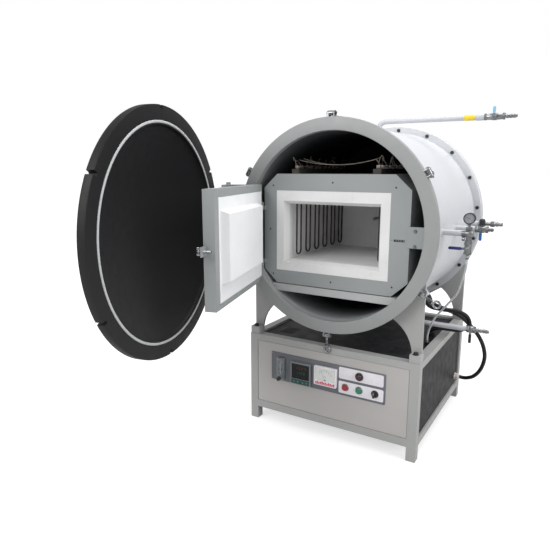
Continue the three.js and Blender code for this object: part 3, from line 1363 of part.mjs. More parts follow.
function makeSwingBolt(degrees, openDegrees) {
  const eye = rod("z", BOLT.eyeRadius, [-BOLT.eyeHalf, BOLT.eyeHalf], [0, 0], ROUND.small);
  const hole = clearance("z", LUG.pin, [-2 * BOLT.eyeHalf, 2 * BOLT.eyeHalf], [0, 0], ROUND.fine);
  const shank = rod("y", BOLT.rodRadius, [-BOLT.ringFrom + BOLT.ringRadius, 0], [0, 0], ROUND.fine);
  const collar = rod("y", BOLT.collarRadius, [-BOLT.collarFrom - BOLT.collarLength, -BOLT.collarFrom], [0, 0], ROUND.small);
  const ring = new THREE.TorusGeometry(BOLT.ringRadius, BOLT.ringWire, BOLT.ringSides, BOLT.ringSteps)
    .rotateY(QUARTER_TURN).translate(0, -BOLT.ringFrom, 0);
  const bolt = cut(join(eye, shank, collar, ring), hole).rotateZ(openDegrees * DEGREE);
  return turnedAboutY(bolt.translate(LUG.pinRadius, LUG.pinY, 0), degrees);
}
SWING_BOLTS.forEach(([name, openDegrees], i) => {
  addPiece(vesselGroup, name, makeSwingBolt(LUG.angles[i], openDegrees), COLOURS.chrome, 0.25, 0.9);
});

// Pipework: welded stubs, ball valves with levers, hose barbs, a gauge and a relief knob.
const VALVE = {
  bodyRadius: 14,
  bossRadius: 7,
  bossReach: 19,
  pinRadius: 3,
  pinReach: 25,
  leverSheet: 3,
  leverHalf: 5.5,
  hubRadius: 8.5,
  nutRadius: 14.5,
  nutLength: 9,
};
// Which way a lever points, seen from the front: turned from +X towards +Z.
const LEVER_WAY = {
  up: 90,
  left: 180,
  down: -90,
};
const BARB = {
  ridges: 3,
  rootShare: 0.72,
  boreShare: 0.45,
  boreDepth: 24,
};

function valveBody(axis, [from, to], [a, b]) {
  const middle = (from + to) / 2;
  const body = rod(axis, VALVE.bodyRadius, [from, to], [a, b], ROUND.fine);
  const nuts = [[from, from + VALVE.nutLength], [to - VALVE.nutLength, to]].map(
    (along) => rod(axis, VALVE.nutRadius, along, [a, b], 6),
  );
  const [x, y, z] = axis === "x" ? [middle, a, b] : [a, b, middle];
  const boss = rod("y", VALVE.bossRadius, [y - VALVE.bossReach, y], [x, z], ROUND.small);
  const pin = rod("y", VALVE.pinRadius, [y - VALVE.pinReach, y], [x, z], ROUND.fine);
  return join(body, ...nuts, boss, pin);
}

// A lever drawn along +X from its stem, then turned about the stem.
function valveLever([x, y, z], length, degrees) {
  const outline = new THREE.Shape();
  outline.absarc(0, 0, VALVE.hubRadius, HALF_TURN * 0.25, HALF_TURN * 1.75);
  outline.lineTo(length - VALVE.leverHalf, -VALVE.leverHalf);
  outline.absarc(length - VALVE.leverHalf, 0, VALVE.leverHalf, -QUARTER_TURN, QUARTER_TURN);
  const backY = -VALVE.bossReach - FIT.gap;
  const plate = plateAlongY(outline, [backY - VALVE.leverSheet, backY]);
  const hole = clearance("y", VALVE.pinRadius, [backY - 2 * FIT.cut, backY + FIT.cut], [0, 0], ROUND.fine);
  return turnedAboutY(cut(plate, hole), degrees).translate(x, y, z);
}

function hoseBarb(axis, [from, to], radius, place) {
  const length = (to - from) / BARB.ridges;
  const ridges = Array.from({ length: BARB.ridges }, (_, i) => rod(
    axis, radius, [from + i * length - (i > 0 ? FIT.weld : 0), from + (i + 1) * length], place, ROUND.fine,
    radius * BARB.rootShare,
  ));
  return join(...ridges);
}

function weldCollar(axis, place, outward) {
  const near = VESSEL.shellRadius - 2 * PORTS.collarHeight;
  const far = VESSEL.shellRadius + PORTS.collarHeight;
  const along = outward > 0 ? [near, far] : [-far, -near];
  return rod(axis, PORTS.collarRadius, along, place, ROUND.medium);
}

function besideShell(geometry) {
  return cut(geometry, rod("y", outerShellRadius, shellY, [0, 0], ROUND.vessel));
}

// A pipe with rounded corners through the given points, in a plane of constant Y.
function bentPipe(points, radius, bend, bendSteps, sides) {
  const corners = points.map((point) => new THREE.Vector3(...point));
  const route = [corners[0]];
  for (let i = 1; i < corners.length - 1; i += 1) {
    const into = corners[i].clone().sub(corners[i - 1]).normalize();
    const out = corners[i + 1].clone().sub(corners[i]).normalize();
    const centre = corners[i].clone().addScaledVector(into, -bend).addScaledVector(out, bend);
    for (let k = 0; k <= bendSteps; k += 1) {
      const turn = QUARTER_TURN * k / bendSteps;
      route.push(centre.clone().addScaledVector(out, -bend * Math.cos(turn)).addScaledVector(into, bend * Math.sin(turn)));
    }
  }
  route.push(corners[corners.length - 1]);
  return sweepThrough(route, new THREE.Vector3(0, 1, 0), radius, sides);
}

const VENT = {
  runRise: 38,
  bend: 34,
  valveX: [440, 516],
  barbX: [515.5, 560],
  barbRadius: 9,
  bandX: [363, 404],
  bandRise: 0.8,
  leverLength: 38,
  bendSteps: 6,
};
VENT.runZ = pastShell(VENT.runRise);

function makeVentPipe() {
  const y = PORTS.ventY;
  const corner = [0, y, VENT.runZ];
  const pipe = bentPipe(
    [[0, y, VESSEL.boreRadius], corner, [VENT.valveX[0] + FIT.weld, y, VENT.runZ]], PORTS.pipeRadius, VENT.bend,
    VENT.bendSteps, ROUND.small,
  );
  const collar = besideShell(weldCollar("z", [0, y], 1));
  const band = rod("x", PORTS.pipeRadius + VENT.bandRise, VENT.bandX, [y, VENT.runZ], ROUND.medium);
  const valve = valveBody("x", VENT.valveX, [y, VENT.runZ]);
  const barb = hoseBarb("x", VENT.barbX, VENT.barbRadius, [y, VENT.runZ]);
  const bore = rod(
    "x", VENT.barbRadius * BARB.boreShare, [VENT.barbX[1] - BARB.boreDepth, VENT.barbX[1] + FIT.cut], [y, VENT.runZ], 8,
  );
  return cut(join(pipe, collar, band, valve, barb), bore);
}
addPiece(vesselGroup, "vent_pipe", makeVentPipe(), COLOURS.steel, 0.3, 0.7);
const ventStem = [(VENT.valveX[0] + VENT.valveX[1]) / 2, PORTS.ventY, VENT.runZ];
addPiece(
  vesselGroup, "vent_valve_lever", valveLever(ventStem, VENT.leverLength, LEVER_WAY.up), COLOURS.paleBlue, 0.4, 0.1,
);

const MANIFOLD = {
  reach: 93,
  z: [-40, 23],
  radius: 9,
  tubeRadius: 10.7,
  teeRadius: 14,
  teeHalf: 14,
  valveZ: [-76, -32],
  barbZ: [-82, -75.5],
  barbRadius: 4.5,
  capLength: 22,
  capZ: -22,
  capRadius: 7,
  leverLength: 63,
  gaugeZ: 52,
  gaugeRadius: 20,
  gaugeY: [-14, 10],
  gaugeStem: 6,
  gaugeBezel: 2,
  gaugeGlassShare: 0.84,
};
MANIFOLD.x = pastShell(MANIFOLD.reach);

function makeManifold() {
  const y = PORTS.manifoldY;
  const tube = rod("x", MANIFOLD.tubeRadius, [VESSEL.boreRadius, MANIFOLD.x], [y, PORTS.manifoldZ], ROUND.medium);
  const riser = rod("z", MANIFOLD.radius, MANIFOLD.z, [MANIFOLD.x, y], ROUND.medium);
  const tee = rod(
    "x", MANIFOLD.teeRadius, [MANIFOLD.x - MANIFOLD.teeHalf, MANIFOLD.x + MANIFOLD.teeHalf], [y, PORTS.manifoldZ],
    ROUND.medium,
  );
  const collar = besideShell(weldCollar("x", [y, PORTS.manifoldZ], 1));
  const valve = valveBody("z", MANIFOLD.valveZ, [MANIFOLD.x, y]);
  const barb = rod("z", MANIFOLD.barbRadius, MANIFOLD.barbZ, [MANIFOLD.x, y], ROUND.small);
  const cap = rod("x", MANIFOLD.capRadius, [MANIFOLD.x - MANIFOLD.capLength, MANIFOLD.x], [y, MANIFOLD.capZ], ROUND.small);
  return join(tube, riser, tee, collar, valve, barb, cap);
}
addPiece(vesselGroup, "gas_manifold", makeManifold(), COLOURS.steel, 0.3, 0.7);
const manifoldStem = [MANIFOLD.x, PORTS.manifoldY, (MANIFOLD.valveZ[0] + MANIFOLD.valveZ[1]) / 2];
addPiece(
  vesselGroup, "manifold_valve_lever", valveLever(manifoldStem, MANIFOLD.leverLength, LEVER_WAY.left), COLOURS.navy, 0.4, 0.1,
);

function makeGauge() {
  const place = [MANIFOLD.x, MANIFOLD.gaugeZ];
  const gaugeY = MANIFOLD.gaugeY.map((y) => PORTS.manifoldY + y);
  const body = rod("y", MANIFOLD.gaugeRadius, gaugeY, place, ROUND.large);
  const glass = rod(
    "y", MANIFOLD.gaugeRadius * MANIFOLD.gaugeGlassShare, [gaugeY[0] - FIT.cut, gaugeY[0] + MANIFOLD.gaugeBezel], place,
    ROUND.large,
  );
  const stem = rod(
    "z", MANIFOLD.gaugeStem, [MANIFOLD.z[1] + FIT.gap, MANIFOLD.gaugeZ], [MANIFOLD.x, PORTS.manifoldY], 6,
  );
  return cut(join(body, stem), glass);
}
addPiece(vesselGroup, "pressure_gauge", makeGauge(), COLOURS.meter, 0.3, 0.2);

const EXHAUST = {
  valveReach: [76, 123],
  barbReach: [122.5, 143],
  barbRadius: 8,
  leverLength: 42,
  knobRadius: 11,
  knobZ: [9, 35],
  knobNeckRadius: 6,
  knobNeckZ: [0, 14],
  knobPinRadius: 3,
  knobBase: 15.3,
};
EXHAUST.valveX = EXHAUST.valveReach.map(pastShell);
EXHAUST.barbX = EXHAUST.barbReach.map(pastShell);
const exhaustX = (EXHAUST.valveX[0] + EXHAUST.valveX[1]) / 2;

function makeExhaust() {
  const place = [PORTS.exhaustY, PORTS.exhaustZ];
  const tube = rod("x", PORTS.pipeRadius, [VESSEL.boreRadius, EXHAUST.valveX[0] + FIT.weld], place, ROUND.medium);
  const collar = besideShell(weldCollar("x", place, 1));
  const valve = valveBody("x", EXHAUST.valveX, place);
  const barb = hoseBarb("x", EXHAUST.barbX, EXHAUST.barbRadius, place);
  const seatTop = PORTS.exhaustZ + EXHAUST.knobBase;
  const seat = rod("z", EXHAUST.knobNeckRadius, [PORTS.exhaustZ, seatTop], [exhaustX, PORTS.exhaustY], ROUND.small);
  const pin = rod(
    "z", EXHAUST.knobPinRadius, [PORTS.exhaustZ, seatTop + EXHAUST.knobNeckZ[1]], [exhaustX, PORTS.exhaustY], 8,
  );
  return join(tube, collar, valve, barb, seat, pin);
}
addPiece(vesselGroup, "exhaust_pipe", makeExhaust(), COLOURS.steel, 0.3, 0.7);
addPiece(
  vesselGroup, "exhaust_valve_lever",
  valveLever([exhaustX, PORTS.exhaustY, PORTS.exhaustZ], EXHAUST.leverLength, LEVER_WAY.down), COLOURS.blue, 0.4, 0.1,
);

function makeReliefKnob() {
  const place = [exhaustX, PORTS.exhaustY];
  const base = PORTS.exhaustZ + EXHAUST.knobBase + FIT.gap;
  const height = EXHAUST.knobZ[1] - EXHAUST.knobZ[0];
  const knob = rod("z", EXHAUST.knobRadius, [base, base + height], place, ROUND.fine);
  const hole = clearance(
    "z", EXHAUST.knobPinRadius, [base - FIT.cut, base + EXHAUST.knobNeckZ[1] + FIT.gap], place, ROUND.fine,
  );
  return cut(knob, hole);
}
addPiece(vesselGroup, "relief_knob", makeReliefKnob(), COLOURS.black, 0.45, 0);

const REAR_PIPE = {
  endReach: 53,
  unionReach: [49, 75],
  unionRadius: 15,
  tailReach: [73, 143],
  tailRadius: 8,
  nutReach: [96, 113],
  nutRadius: 13,
};
REAR_PIPE.endX = pastShell(REAR_PIPE.endReach);
REAR_PIPE.unionX = REAR_PIPE.unionReach.map(pastShell);
REAR_PIPE.tailX = REAR_PIPE.tailReach.map(pastShell);
REAR_PIPE.nutX = REAR_PIPE.nutReach.map(pastShell);

function makeRearPipe() {
  const place = [PORTS.rearY, PORTS.rearZ];
  const tube = rod("x", PORTS.pipeRadius, [VESSEL.boreRadius, REAR_PIPE.endX], place, ROUND.medium);
  const collar = besideShell(weldCollar("x", place, 1));
  const union = rod("x", REAR_PIPE.unionRadius, REAR_PIPE.unionX, place, 6);
  const tail = rod("x", REAR_PIPE.tailRadius, REAR_PIPE.tailX, place, ROUND.small);
  const nut = rod("x", REAR_PIPE.nutRadius, REAR_PIPE.nutX, place, 6);
  const bore = rod(
    "x", REAR_PIPE.tailRadius * BARB.boreShare, [REAR_PIPE.tailX[1] - BARB.boreDepth, REAR_PIPE.tailX[1] + FIT.cut],
    place, 8,
  );
  return cut(join(tube, collar, union, tail, nut), bore);
}
addPiece(vesselGroup, "rear_side_pipe", makeRearPipe(), COLOURS.steel, 0.3, 0.7);

const VACUUM = {
  runDrop: 30,
  bend: 30,
  valveX: [457, 491],
  barbX: [490.5, 542],
  barbRadius: 9,
  leverLength: 52,
  bendSteps: 6,
};
VACUUM.runZ = -pastShell(VACUUM.runDrop);
const vacuumTopZ = -Math.sqrt(VESSEL.boreRadius ** 2 - PORTS.vacuumX ** 2) - PORTS.pipeRadius;

function makeVacuumPipe() {
  const { vacuumX: x, vacuumY: y } = PORTS;
  const pipe = bentPipe(
    [[x, y, vacuumTopZ], [x, y, VACUUM.runZ], [VACUUM.valveX[0] + FIT.weld, y, VACUUM.runZ]], PORTS.pipeRadius,
    VACUUM.bend, VACUUM.bendSteps, ROUND.small,
  );
  const collar = besideShell(rod("z", PORTS.collarRadius, [vacuumTopZ - 3 * PORTS.collarHeight, vacuumTopZ], [x, y]));
  const valve = valveBody("x", VACUUM.valveX, [y, VACUUM.runZ]);
  const barb = hoseBarb("x", VACUUM.barbX, VACUUM.barbRadius, [y, VACUUM.runZ]);
  const bore = rod(
    "x", VACUUM.barbRadius * BARB.boreShare, [VACUUM.barbX[1] - BARB.boreDepth, VACUUM.barbX[1] + FIT.cut],
    [y, VACUUM.runZ], 8,
  );
  return cut(join(pipe, collar, valve, barb), bore);
}
addPiece(vesselGroup, "vacuum_pipe", makeVacuumPipe(), COLOURS.steel, 0.3, 0.7);
const vacuumStem = [(VACUUM.valveX[0] + VACUUM.valveX[1]) / 2, PORTS.vacuumY, VACUUM.runZ];
addPiece(
  vesselGroup, "vacuum_valve_lever", valveLever(vacuumStem, VACUUM.leverLength, LEVER_WAY.down), COLOURS.black, 0.4, 0.1,
);

// Hose and cables, each from one real fitting to the next.
const CORDS = {
  hoseRadius: 4,
  hoseSides: 8,
  hoseSteps: 28,
  powerRadius: 8.5,
  elementRadius: 9,
  cableSides: 10,
  cableSteps: 24,
  lead: 40,
};
const deckHoseZ = deckTopZ + DECK_OUTLETS.hoseRise + FIT.gap;
const deckCableZ = deckTopZ + DECK_OUTLETS.cableRise + FIT.gap;
const hoseTopZ = VESSEL.axisHeight + MANIFOLD.barbZ[0] - FIT.gap;
const seatEnd = glandSeatRadius + FIT.gap;
const seatLead = glandSeatRadius + CORDS.lead;
const glandTurn = PORTS.glandDegrees * DEGREE;

function onSeatRay(distance, y) {
  return [distance * Math.cos(glandTurn), y, VESSEL.axisHeight + distance * Math.sin(glandTurn)];
}

// Points measured from the fitting that each stretch hangs from, and each route from one fitting to the next.
const ROUTES = {
  hoseFromManifold: [
    [0, 0, -101], [-2, 6, -124], [-12, 28, -157], [-29, 61, -210], [-45, 82, -247], [-83, 102, -299], [-128, 124, -360],
  ],
  hoseFromDeck: [[6, -2, 55.7], [0, 0, 25.7]],
  powerFromGland: [[84.7, -14, 19], [118.7, -39, 67], [136.7, -61, 133], [132.7, -82, 188], [114.7, -103, 240]],
  powerFromVessel: [[440, 78, -446], [400, 42, -400], [350, 12, -372]],
  elementFromDeck: [[0, 0, 6], [26, 6, 19.7], [66, 18, 17.7], [116, 26, 19.7], [148, 30, 43.7]],
  elementFromVessel: [[440, 36, -384], [400, 24, -364], [350, 8, -360]],
};
const measuredFrom = ([x, y, z], points) => points.map(([dx, dy, dz]) => [x + dx, y + dy, z + dz]);
const hoseSeatPoint = [...DECK_OUTLETS.hose, deckHoseZ];
const cableSeatPoint = [...DECK_OUTLETS.cable, deckCableZ];
const HOSE_ROUTE = [
  [MANIFOLD.x, PORTS.manifoldY, hoseTopZ],
  ...measuredFrom([MANIFOLD.x, PORTS.manifoldY, VESSEL.axisHeight], ROUTES.hoseFromManifold),
  ...measuredFrom(hoseSeatPoint, ROUTES.hoseFromDeck), hoseSeatPoint,
];
const POWER_ROUTE = [
  [glandOuterX + CABLE_GLAND.bodyLength + FIT.gap, CABLE_GLAND.y, CABLE_GLAND.z],
  [glandOuterX + 2 * CABLE_GLAND.bodyLength, CABLE_GLAND.y, CABLE_GLAND.z],
  ...measuredFrom([glandOuterX, CABLE_GLAND.y, CABLE_GLAND.z], ROUTES.powerFromGland),
  ...measuredFrom([0, PORTS.powerY, VESSEL.axisHeight], ROUTES.powerFromVessel),
  onSeatRay(seatLead, PORTS.powerY), onSeatRay(seatEnd, PORTS.powerY),
];
const ELEMENT_ROUTE = [
  cableSeatPoint, ...measuredFrom(cableSeatPoint, ROUTES.elementFromDeck),
  ...measuredFrom([0, PORTS.elementY, VESSEL.axisHeight], ROUTES.elementFromVessel),
  onSeatRay(seatLead, PORTS.elementY), onSeatRay(seatEnd, PORTS.elementY),
];
addPiece(
  furnace, "gas_hose", tubeAlong(HOSE_ROUTE, CORDS.hoseRadius, CORDS.hoseSides, CORDS.hoseSteps), COLOURS.hose, 0.3, 0,
);
addPiece(
  furnace, "power_cable", tubeAlong(POWER_ROUTE, CORDS.powerRadius, CORDS.cableSides, CORDS.cableSteps),
  COLOURS.cable, 0.5, 0,
);
addPiece(
  furnace, "element_cable", tubeAlong(ELEMENT_ROUTE, CORDS.elementRadius, CORDS.cableSides, CORDS.cableSteps),
  COLOURS.cable, 0.5, 0,
);

// The origin is the middle of the footprint, on the floor; hose and cables don't move it.
const CORD_NAMES = ["gas_hose", "power_cable", "element_cable"];
furnace.updateMatrixWorld(true);
const bounds = new THREE.Box3();
furnace.traverse((piece) => {
  if (piece.isMesh && !CORD_NAMES.includes(piece.name)) {
    bounds.expandByObject(piece, true);
  }
});
const part = new THREE.Group();
part.name = "atmosphere_box_furnace";
furnace.position.set(-(bounds.min.x + bounds.max.x) / 2, -(bounds.min.y + bounds.max.y) / 2, -bounds.min.z);
part.add(furnace);
part.updateMatrixWorld(true);

export default part;
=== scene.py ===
import math
import random
import bmesh
import bpy
from mathutils import Matrix, Vector


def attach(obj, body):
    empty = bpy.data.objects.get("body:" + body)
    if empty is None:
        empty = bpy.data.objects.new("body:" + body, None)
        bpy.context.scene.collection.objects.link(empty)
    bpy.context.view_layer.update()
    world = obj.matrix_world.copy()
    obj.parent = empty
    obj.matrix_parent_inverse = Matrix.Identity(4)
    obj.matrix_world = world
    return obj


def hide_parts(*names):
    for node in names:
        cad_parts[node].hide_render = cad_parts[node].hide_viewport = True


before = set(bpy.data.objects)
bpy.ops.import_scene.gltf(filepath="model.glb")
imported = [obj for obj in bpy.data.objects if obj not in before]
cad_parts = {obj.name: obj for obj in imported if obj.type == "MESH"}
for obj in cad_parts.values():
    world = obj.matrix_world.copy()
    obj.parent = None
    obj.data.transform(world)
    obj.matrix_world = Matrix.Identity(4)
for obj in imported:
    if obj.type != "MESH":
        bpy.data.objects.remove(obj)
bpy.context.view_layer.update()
bpy.ops.object.select_all(action="DESELECT")
print("packed furnace loaded")

# pieces are drawn in millimetres, in the frames that the furnace itself has, and then put in place in metres
mm = 0.001
drawn = {
    "shift": (-2.763, -10.550, 0.0),
    "vesselHeight": 866.0,
    "lidAxis": (-482.6, 25.0, 0.0),
    "lidOpen": -76.7,
    "doorAxis": (-310.0, 22.0, 0.0),
    "doorOpen": -73.5,
    "lugRadius": 422.0,
    "lugDepth": 10.0,
}


def moved(x, y, z):
    return Matrix.Translation((x, y, z))


def turnedBy(degrees, axis):
    return Matrix.Rotation(math.radians(degrees), 4, axis)


standPlace = Matrix.Scale(mm, 4) @ moved(*drawn["shift"])
vesselPlace = standPlace @ moved(0, 0, drawn["vesselHeight"])
lidBack = moved(*[-v for v in drawn["lidAxis"]])
lidPlace = vesselPlace @ moved(*drawn["lidAxis"]) @ turnedBy(drawn["lidOpen"], "Z") @ lidBack
doorPlace = vesselPlace @ moved(*drawn["doorAxis"]) @ turnedBy(drawn["doorOpen"], "Z")
alongX = turnedBy(90, "Y")
alongMinusX = turnedBy(-90, "Y")
alongMinusY = turnedBy(90, "X")
alongY = turnedBy(-90, "X")
upsideDown = turnedBy(180, "X")


def onStand(x, y, z):
    return standPlace @ moved(x, y, z)


def onVessel(x, y, z):
    return vesselPlace @ moved(x, y, z)


# camera where the photographer stood
view = {"aim": (-240.7, 0.0, 667.2), "azimuth": 31.50, "elevation": 11.44, "distance": 2125.0, "lens": 34.1, "sees": 60}
aim = standPlace @ Vector(view["aim"])
swing, rise = math.radians(view["azimuth"]), math.radians(view["elevation"])
away = Vector((math.sin(swing) * math.cos(rise), -math.cos(swing) * math.cos(rise), math.sin(rise)))
eye = aim + away * view["distance"] * mm
bpy.ops.object.camera_add(location=eye, rotation=(aim - eye).to_track_quat("-Z", "Y").to_euler())
camera = bpy.context.object
camera.name = "photoCamera"
camera.data.lens = view["lens"]
camera.data.clip_end = view["sees"]
bpy.context.scene.camera = camera
print("camera placed")


# small helpers for modelling
def alone(piece):
    bpy.ops.object.select_all(action="DESELECT")
    piece.select_set(True)
    bpy.context.view_layer.objects.active = piece


def backToObject():
    bpy.ops.object.mode_set(mode="OBJECT")


def smoothed(piece, degrees):
    alone(piece)
    bpy.ops.object.shade_smooth_by_angle(angle=math.radians(degrees))
    return piece


# edit mode with the edges or faces picked that pass the test
def pick(piece, kind, wanted):
    alone(piece)
    bpy.ops.object.mode_set(mode="EDIT")
    bpy.ops.mesh.select_mode(type=kind)
    bpy.ops.mesh.select_all(action="DESELECT")
    shape = bmesh.from_edit_mesh(piece.data)
    for part in shape.faces if kind == "FACE" else shape.edges:
        part.select_set(wanted(part))
    bmesh.update_edit_mesh(piece.data)


def softened(piece, width, segments=2, angle=40):
    alone(piece)
    edge = piece.modifiers.new("softEdge", "BEVEL")
    edge.width = width
    edge.segments = segments
    edge.limit_method = "ANGLE"
    edge.angle_limit = math.radians(angle)
    bpy.ops.object.modifier_apply(modifier=edge.name)
    return piece


# a circle drawn out along Z through (height, radius) steps
def drawnOut(name, steps, sides, smooth, hollow):
    height, radius = steps[0]
    bpy.ops.object.select_all(action="DESELECT")
    bpy.ops.mesh.primitive_circle_add(vertices=sides, radius=radius, fill_type="NOTHING" if hollow else "NGON",
                                      location=(0, 0, height))
    piece = bpy.context.object
    piece.name = name
    bpy.ops.object.mode_set(mode="EDIT")
    bpy.ops.mesh.select_mode(type="EDGE" if hollow else "FACE")
    bpy.ops.mesh.select_all(action="SELECT")
    for nextHeight, nextRadius in steps[1:]:
        bpy.ops.mesh.extrude_region_move(TRANSFORM_OT_translate={"value": (0, 0, nextHeight - height)})
        share = nextRadius / radius
        bpy.ops.transform.resize(value=(share, share, 1), center_override=(0, 0, nextHeight))
        height, radius = nextHeight, nextRadius
    bpy.ops.mesh.select_all(action="SELECT")
    if hollow:
        bpy.ops.mesh.remove_doubles(threshold=0.005)
    bpy.ops.mesh.normals_make_consistent(inside=False)
    backToObject()
    bpy.ops.object.transform_apply(location=True, rotation=True, scale=True)
    return smoothed(piece, smooth) if smooth else piece


# a solid turned piece
def lathed(name, steps, sides=32, smooth=38):
    return drawnOut(name, steps, sides, smooth, hollow=False)


# a closed ring, whose last step joins the first
def ringed(name, steps, sides=128, smooth=32):
    return drawnOut(name, [*steps, steps[0]], sides, smooth, hollow=True)


# a block between two corners, with rounded edges along one axis and softened edges all round
def slab(name, low, high, soft=0.5, corner=0.0, cornerAxis=1, segments=2):
    low, high = Vector(low), Vector(high)
    bpy.ops.object.select_all(action="DESELECT")
    bpy.ops.mesh.primitive_cube_add(size=1, location=(low + high) / 2, scale=high - low)
    piece = bpy.context.object
    piece.name = name
    bpy.ops.object.transform_apply(location=True, rotation=True, scale=True)
    if corner > 0:
        def runsAlong(edge):
            a, b = (v.co for v in edge.verts)
            return abs((b - a).normalized()[cornerAxis]) > 0.99
        pick(piece, "EDGE", runsAlong)
        bpy.ops.mesh.bevel(offset=corner, segments=5, affect="EDGES")
        backToObject()
    if soft > 0:
        softened(piece, soft, segments, 50)
    return smoothed(piece, 30)


def placed(piece, place):
    piece.data.transform(place)
    return piece


def twin(piece, place=Matrix.Identity(4), name=None):
    other = piece.copy()
    other.data = piece.data.copy()
    other.name = name or piece.name
    bpy.context.scene.collection.objects.link(other)
    return placed(other, place)


def dropped(*pieces):
    for piece in pieces:
        bpy.data.objects.remove(piece)


def oneOf(name, pieces):
    bpy.ops.object.select_all(action="DESELECT")
    for piece in pieces:
        piece.select_set(True)
    bpy.context.view_layer.objects.active = pieces[0]
    if len(pieces) > 1:
        bpy.ops.object.join()
    pieces[0].name = name
    return pieces[0]


def bored(piece, cutter):
    alone(piece)
    hole = piece.modifiers.new("hole", "BOOLEAN")
    hole.operation = "DIFFERENCE"
    hole.solver = "EXACT"
    hole.use_self = True
    hole.object = cutter
    bpy.ops.object.modifier_apply(modifier=hole.name)
    dropped(cutter)
    return smoothed(piece, 35)


# puts a finished piece in place, in its finish and on its body
def settle(piece, place, look, nodes=(), body="vessel_and_stand"):
    alone(piece)
    placed(piece, place)
    piece.data.materials.clear()
    piece.data.materials.append(looks[look])
    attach(piece, body)
    if nodes:
        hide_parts(*nodes)
    return piece


# a bright steel fitting that stays with the vessel and stand
def fitted(piece, place):
    return settle(piece, place, "steel")


# a second finish on the faces that the test picks by their middle and their outward direction
def alsoIn(piece, look, wanted):
    piece.data.materials.append(looks[look])
    second = len(piece.data.materials) - 1
    for face in piece.data.polygons:
        if wanted(face.center, face.normal):
            face.material_index = second


# colours are given as they look on a screen, 0 to 255
def tint(red, green, blue):
    def linear(v):
        v = v / 255
        return v / 12.92 if v <= 0.04045 else ((v + 0.055) / 1.055) ** 2.4
    return (linear(red), linear(green), linear(blue), 1.0)


def startLook(name):
    look = bpy.data.materials.new(name)
    look.use_nodes = True
    tree = look.node_tree
    where = tree.nodes.new("ShaderNodeTexCoord")
    return look, tree, tree.nodes["Principled BSDF"], where.outputs["Object"]


# a socket gets a plain value or a link, whichever is given
def feed(tree, socket, value):
    if isinstance(value, (int, float, tuple)):
        socket.default_value = value
    else:
        tree.links.new(value, socket)


def cloudy(tree, where, scale, detail=3.0, stretch=None):
    noise = tree.nodes.new("ShaderNodeTexNoise")
    noise.inputs["Scale"].default_value = scale
    noise.inputs["Detail"].default_value = detail
    if stretch:
        squeeze = tree.nodes.new("ShaderNodeMapping")
        squeeze.inputs["Scale"].default_value = stretch
        tree.links.new(where, squeeze.inputs["Vector"])
        where = squeeze.outputs["Vector"]
    tree.links.new(where, noise.inputs["Vector"])
    return noise.outputs["Fac"]


def ranged(tree, value, before, after):
    fit = tree.nodes.new("ShaderNodeMapRange")
    for name, number in zip(("From Min", "From Max", "To Min", "To Max"), (*before, *after)):
        fit.inputs[name].default_value = number
    tree.links.new(value, fit.inputs["Value"])
    return fit.outputs["Result"]


# clouds of a size and a detail, with a part of their range spread over the one that is wanted
def mottled(tree, where, cloud, before, after):
    return ranged(tree, cloudy(tree, where, *cloud), before, after)


def blended(tree, share, first, second):
    mix = tree.nodes.new("ShaderNodeMix")
    mix.data_type = "RGBA"
    tree.links.new(share, mix.inputs["Factor"])
    feed(tree, mix.inputs["A"], first)
    feed(tree, mix.inputs["B"], second)
    return mix.outputs["Result"]


def product(tree, first, second):
    times = tree.nodes.new("ShaderNodeMath")
    times.operation = "MULTIPLY"
    feed(tree, times.inputs[0], first)
    feed(tree, times.inputs[1], second)
    return times.outputs["Value"]


def roundedEdges(tree, radius):
    rounded = tree.nodes.new("ShaderNodeBevel")
    rounded.samples = 4
    rounded.inputs["Radius"].default_value = radius * mm
    return rounded.outputs["Normal"]


def bumped(tree, height, strength, distance, normal=None):
    bump = tree.nodes.new("ShaderNodeBump")
    bump.inputs["Strength"].default_value = strength
    bump.inputs["Distance"].default_value = distance * mm
    tree.links.new(height, bump.inputs["Height"])
    if normal is not None:
        tree.links.new(normal, bump.inputs["Normal"])
    return bump.outputs["Normal"]


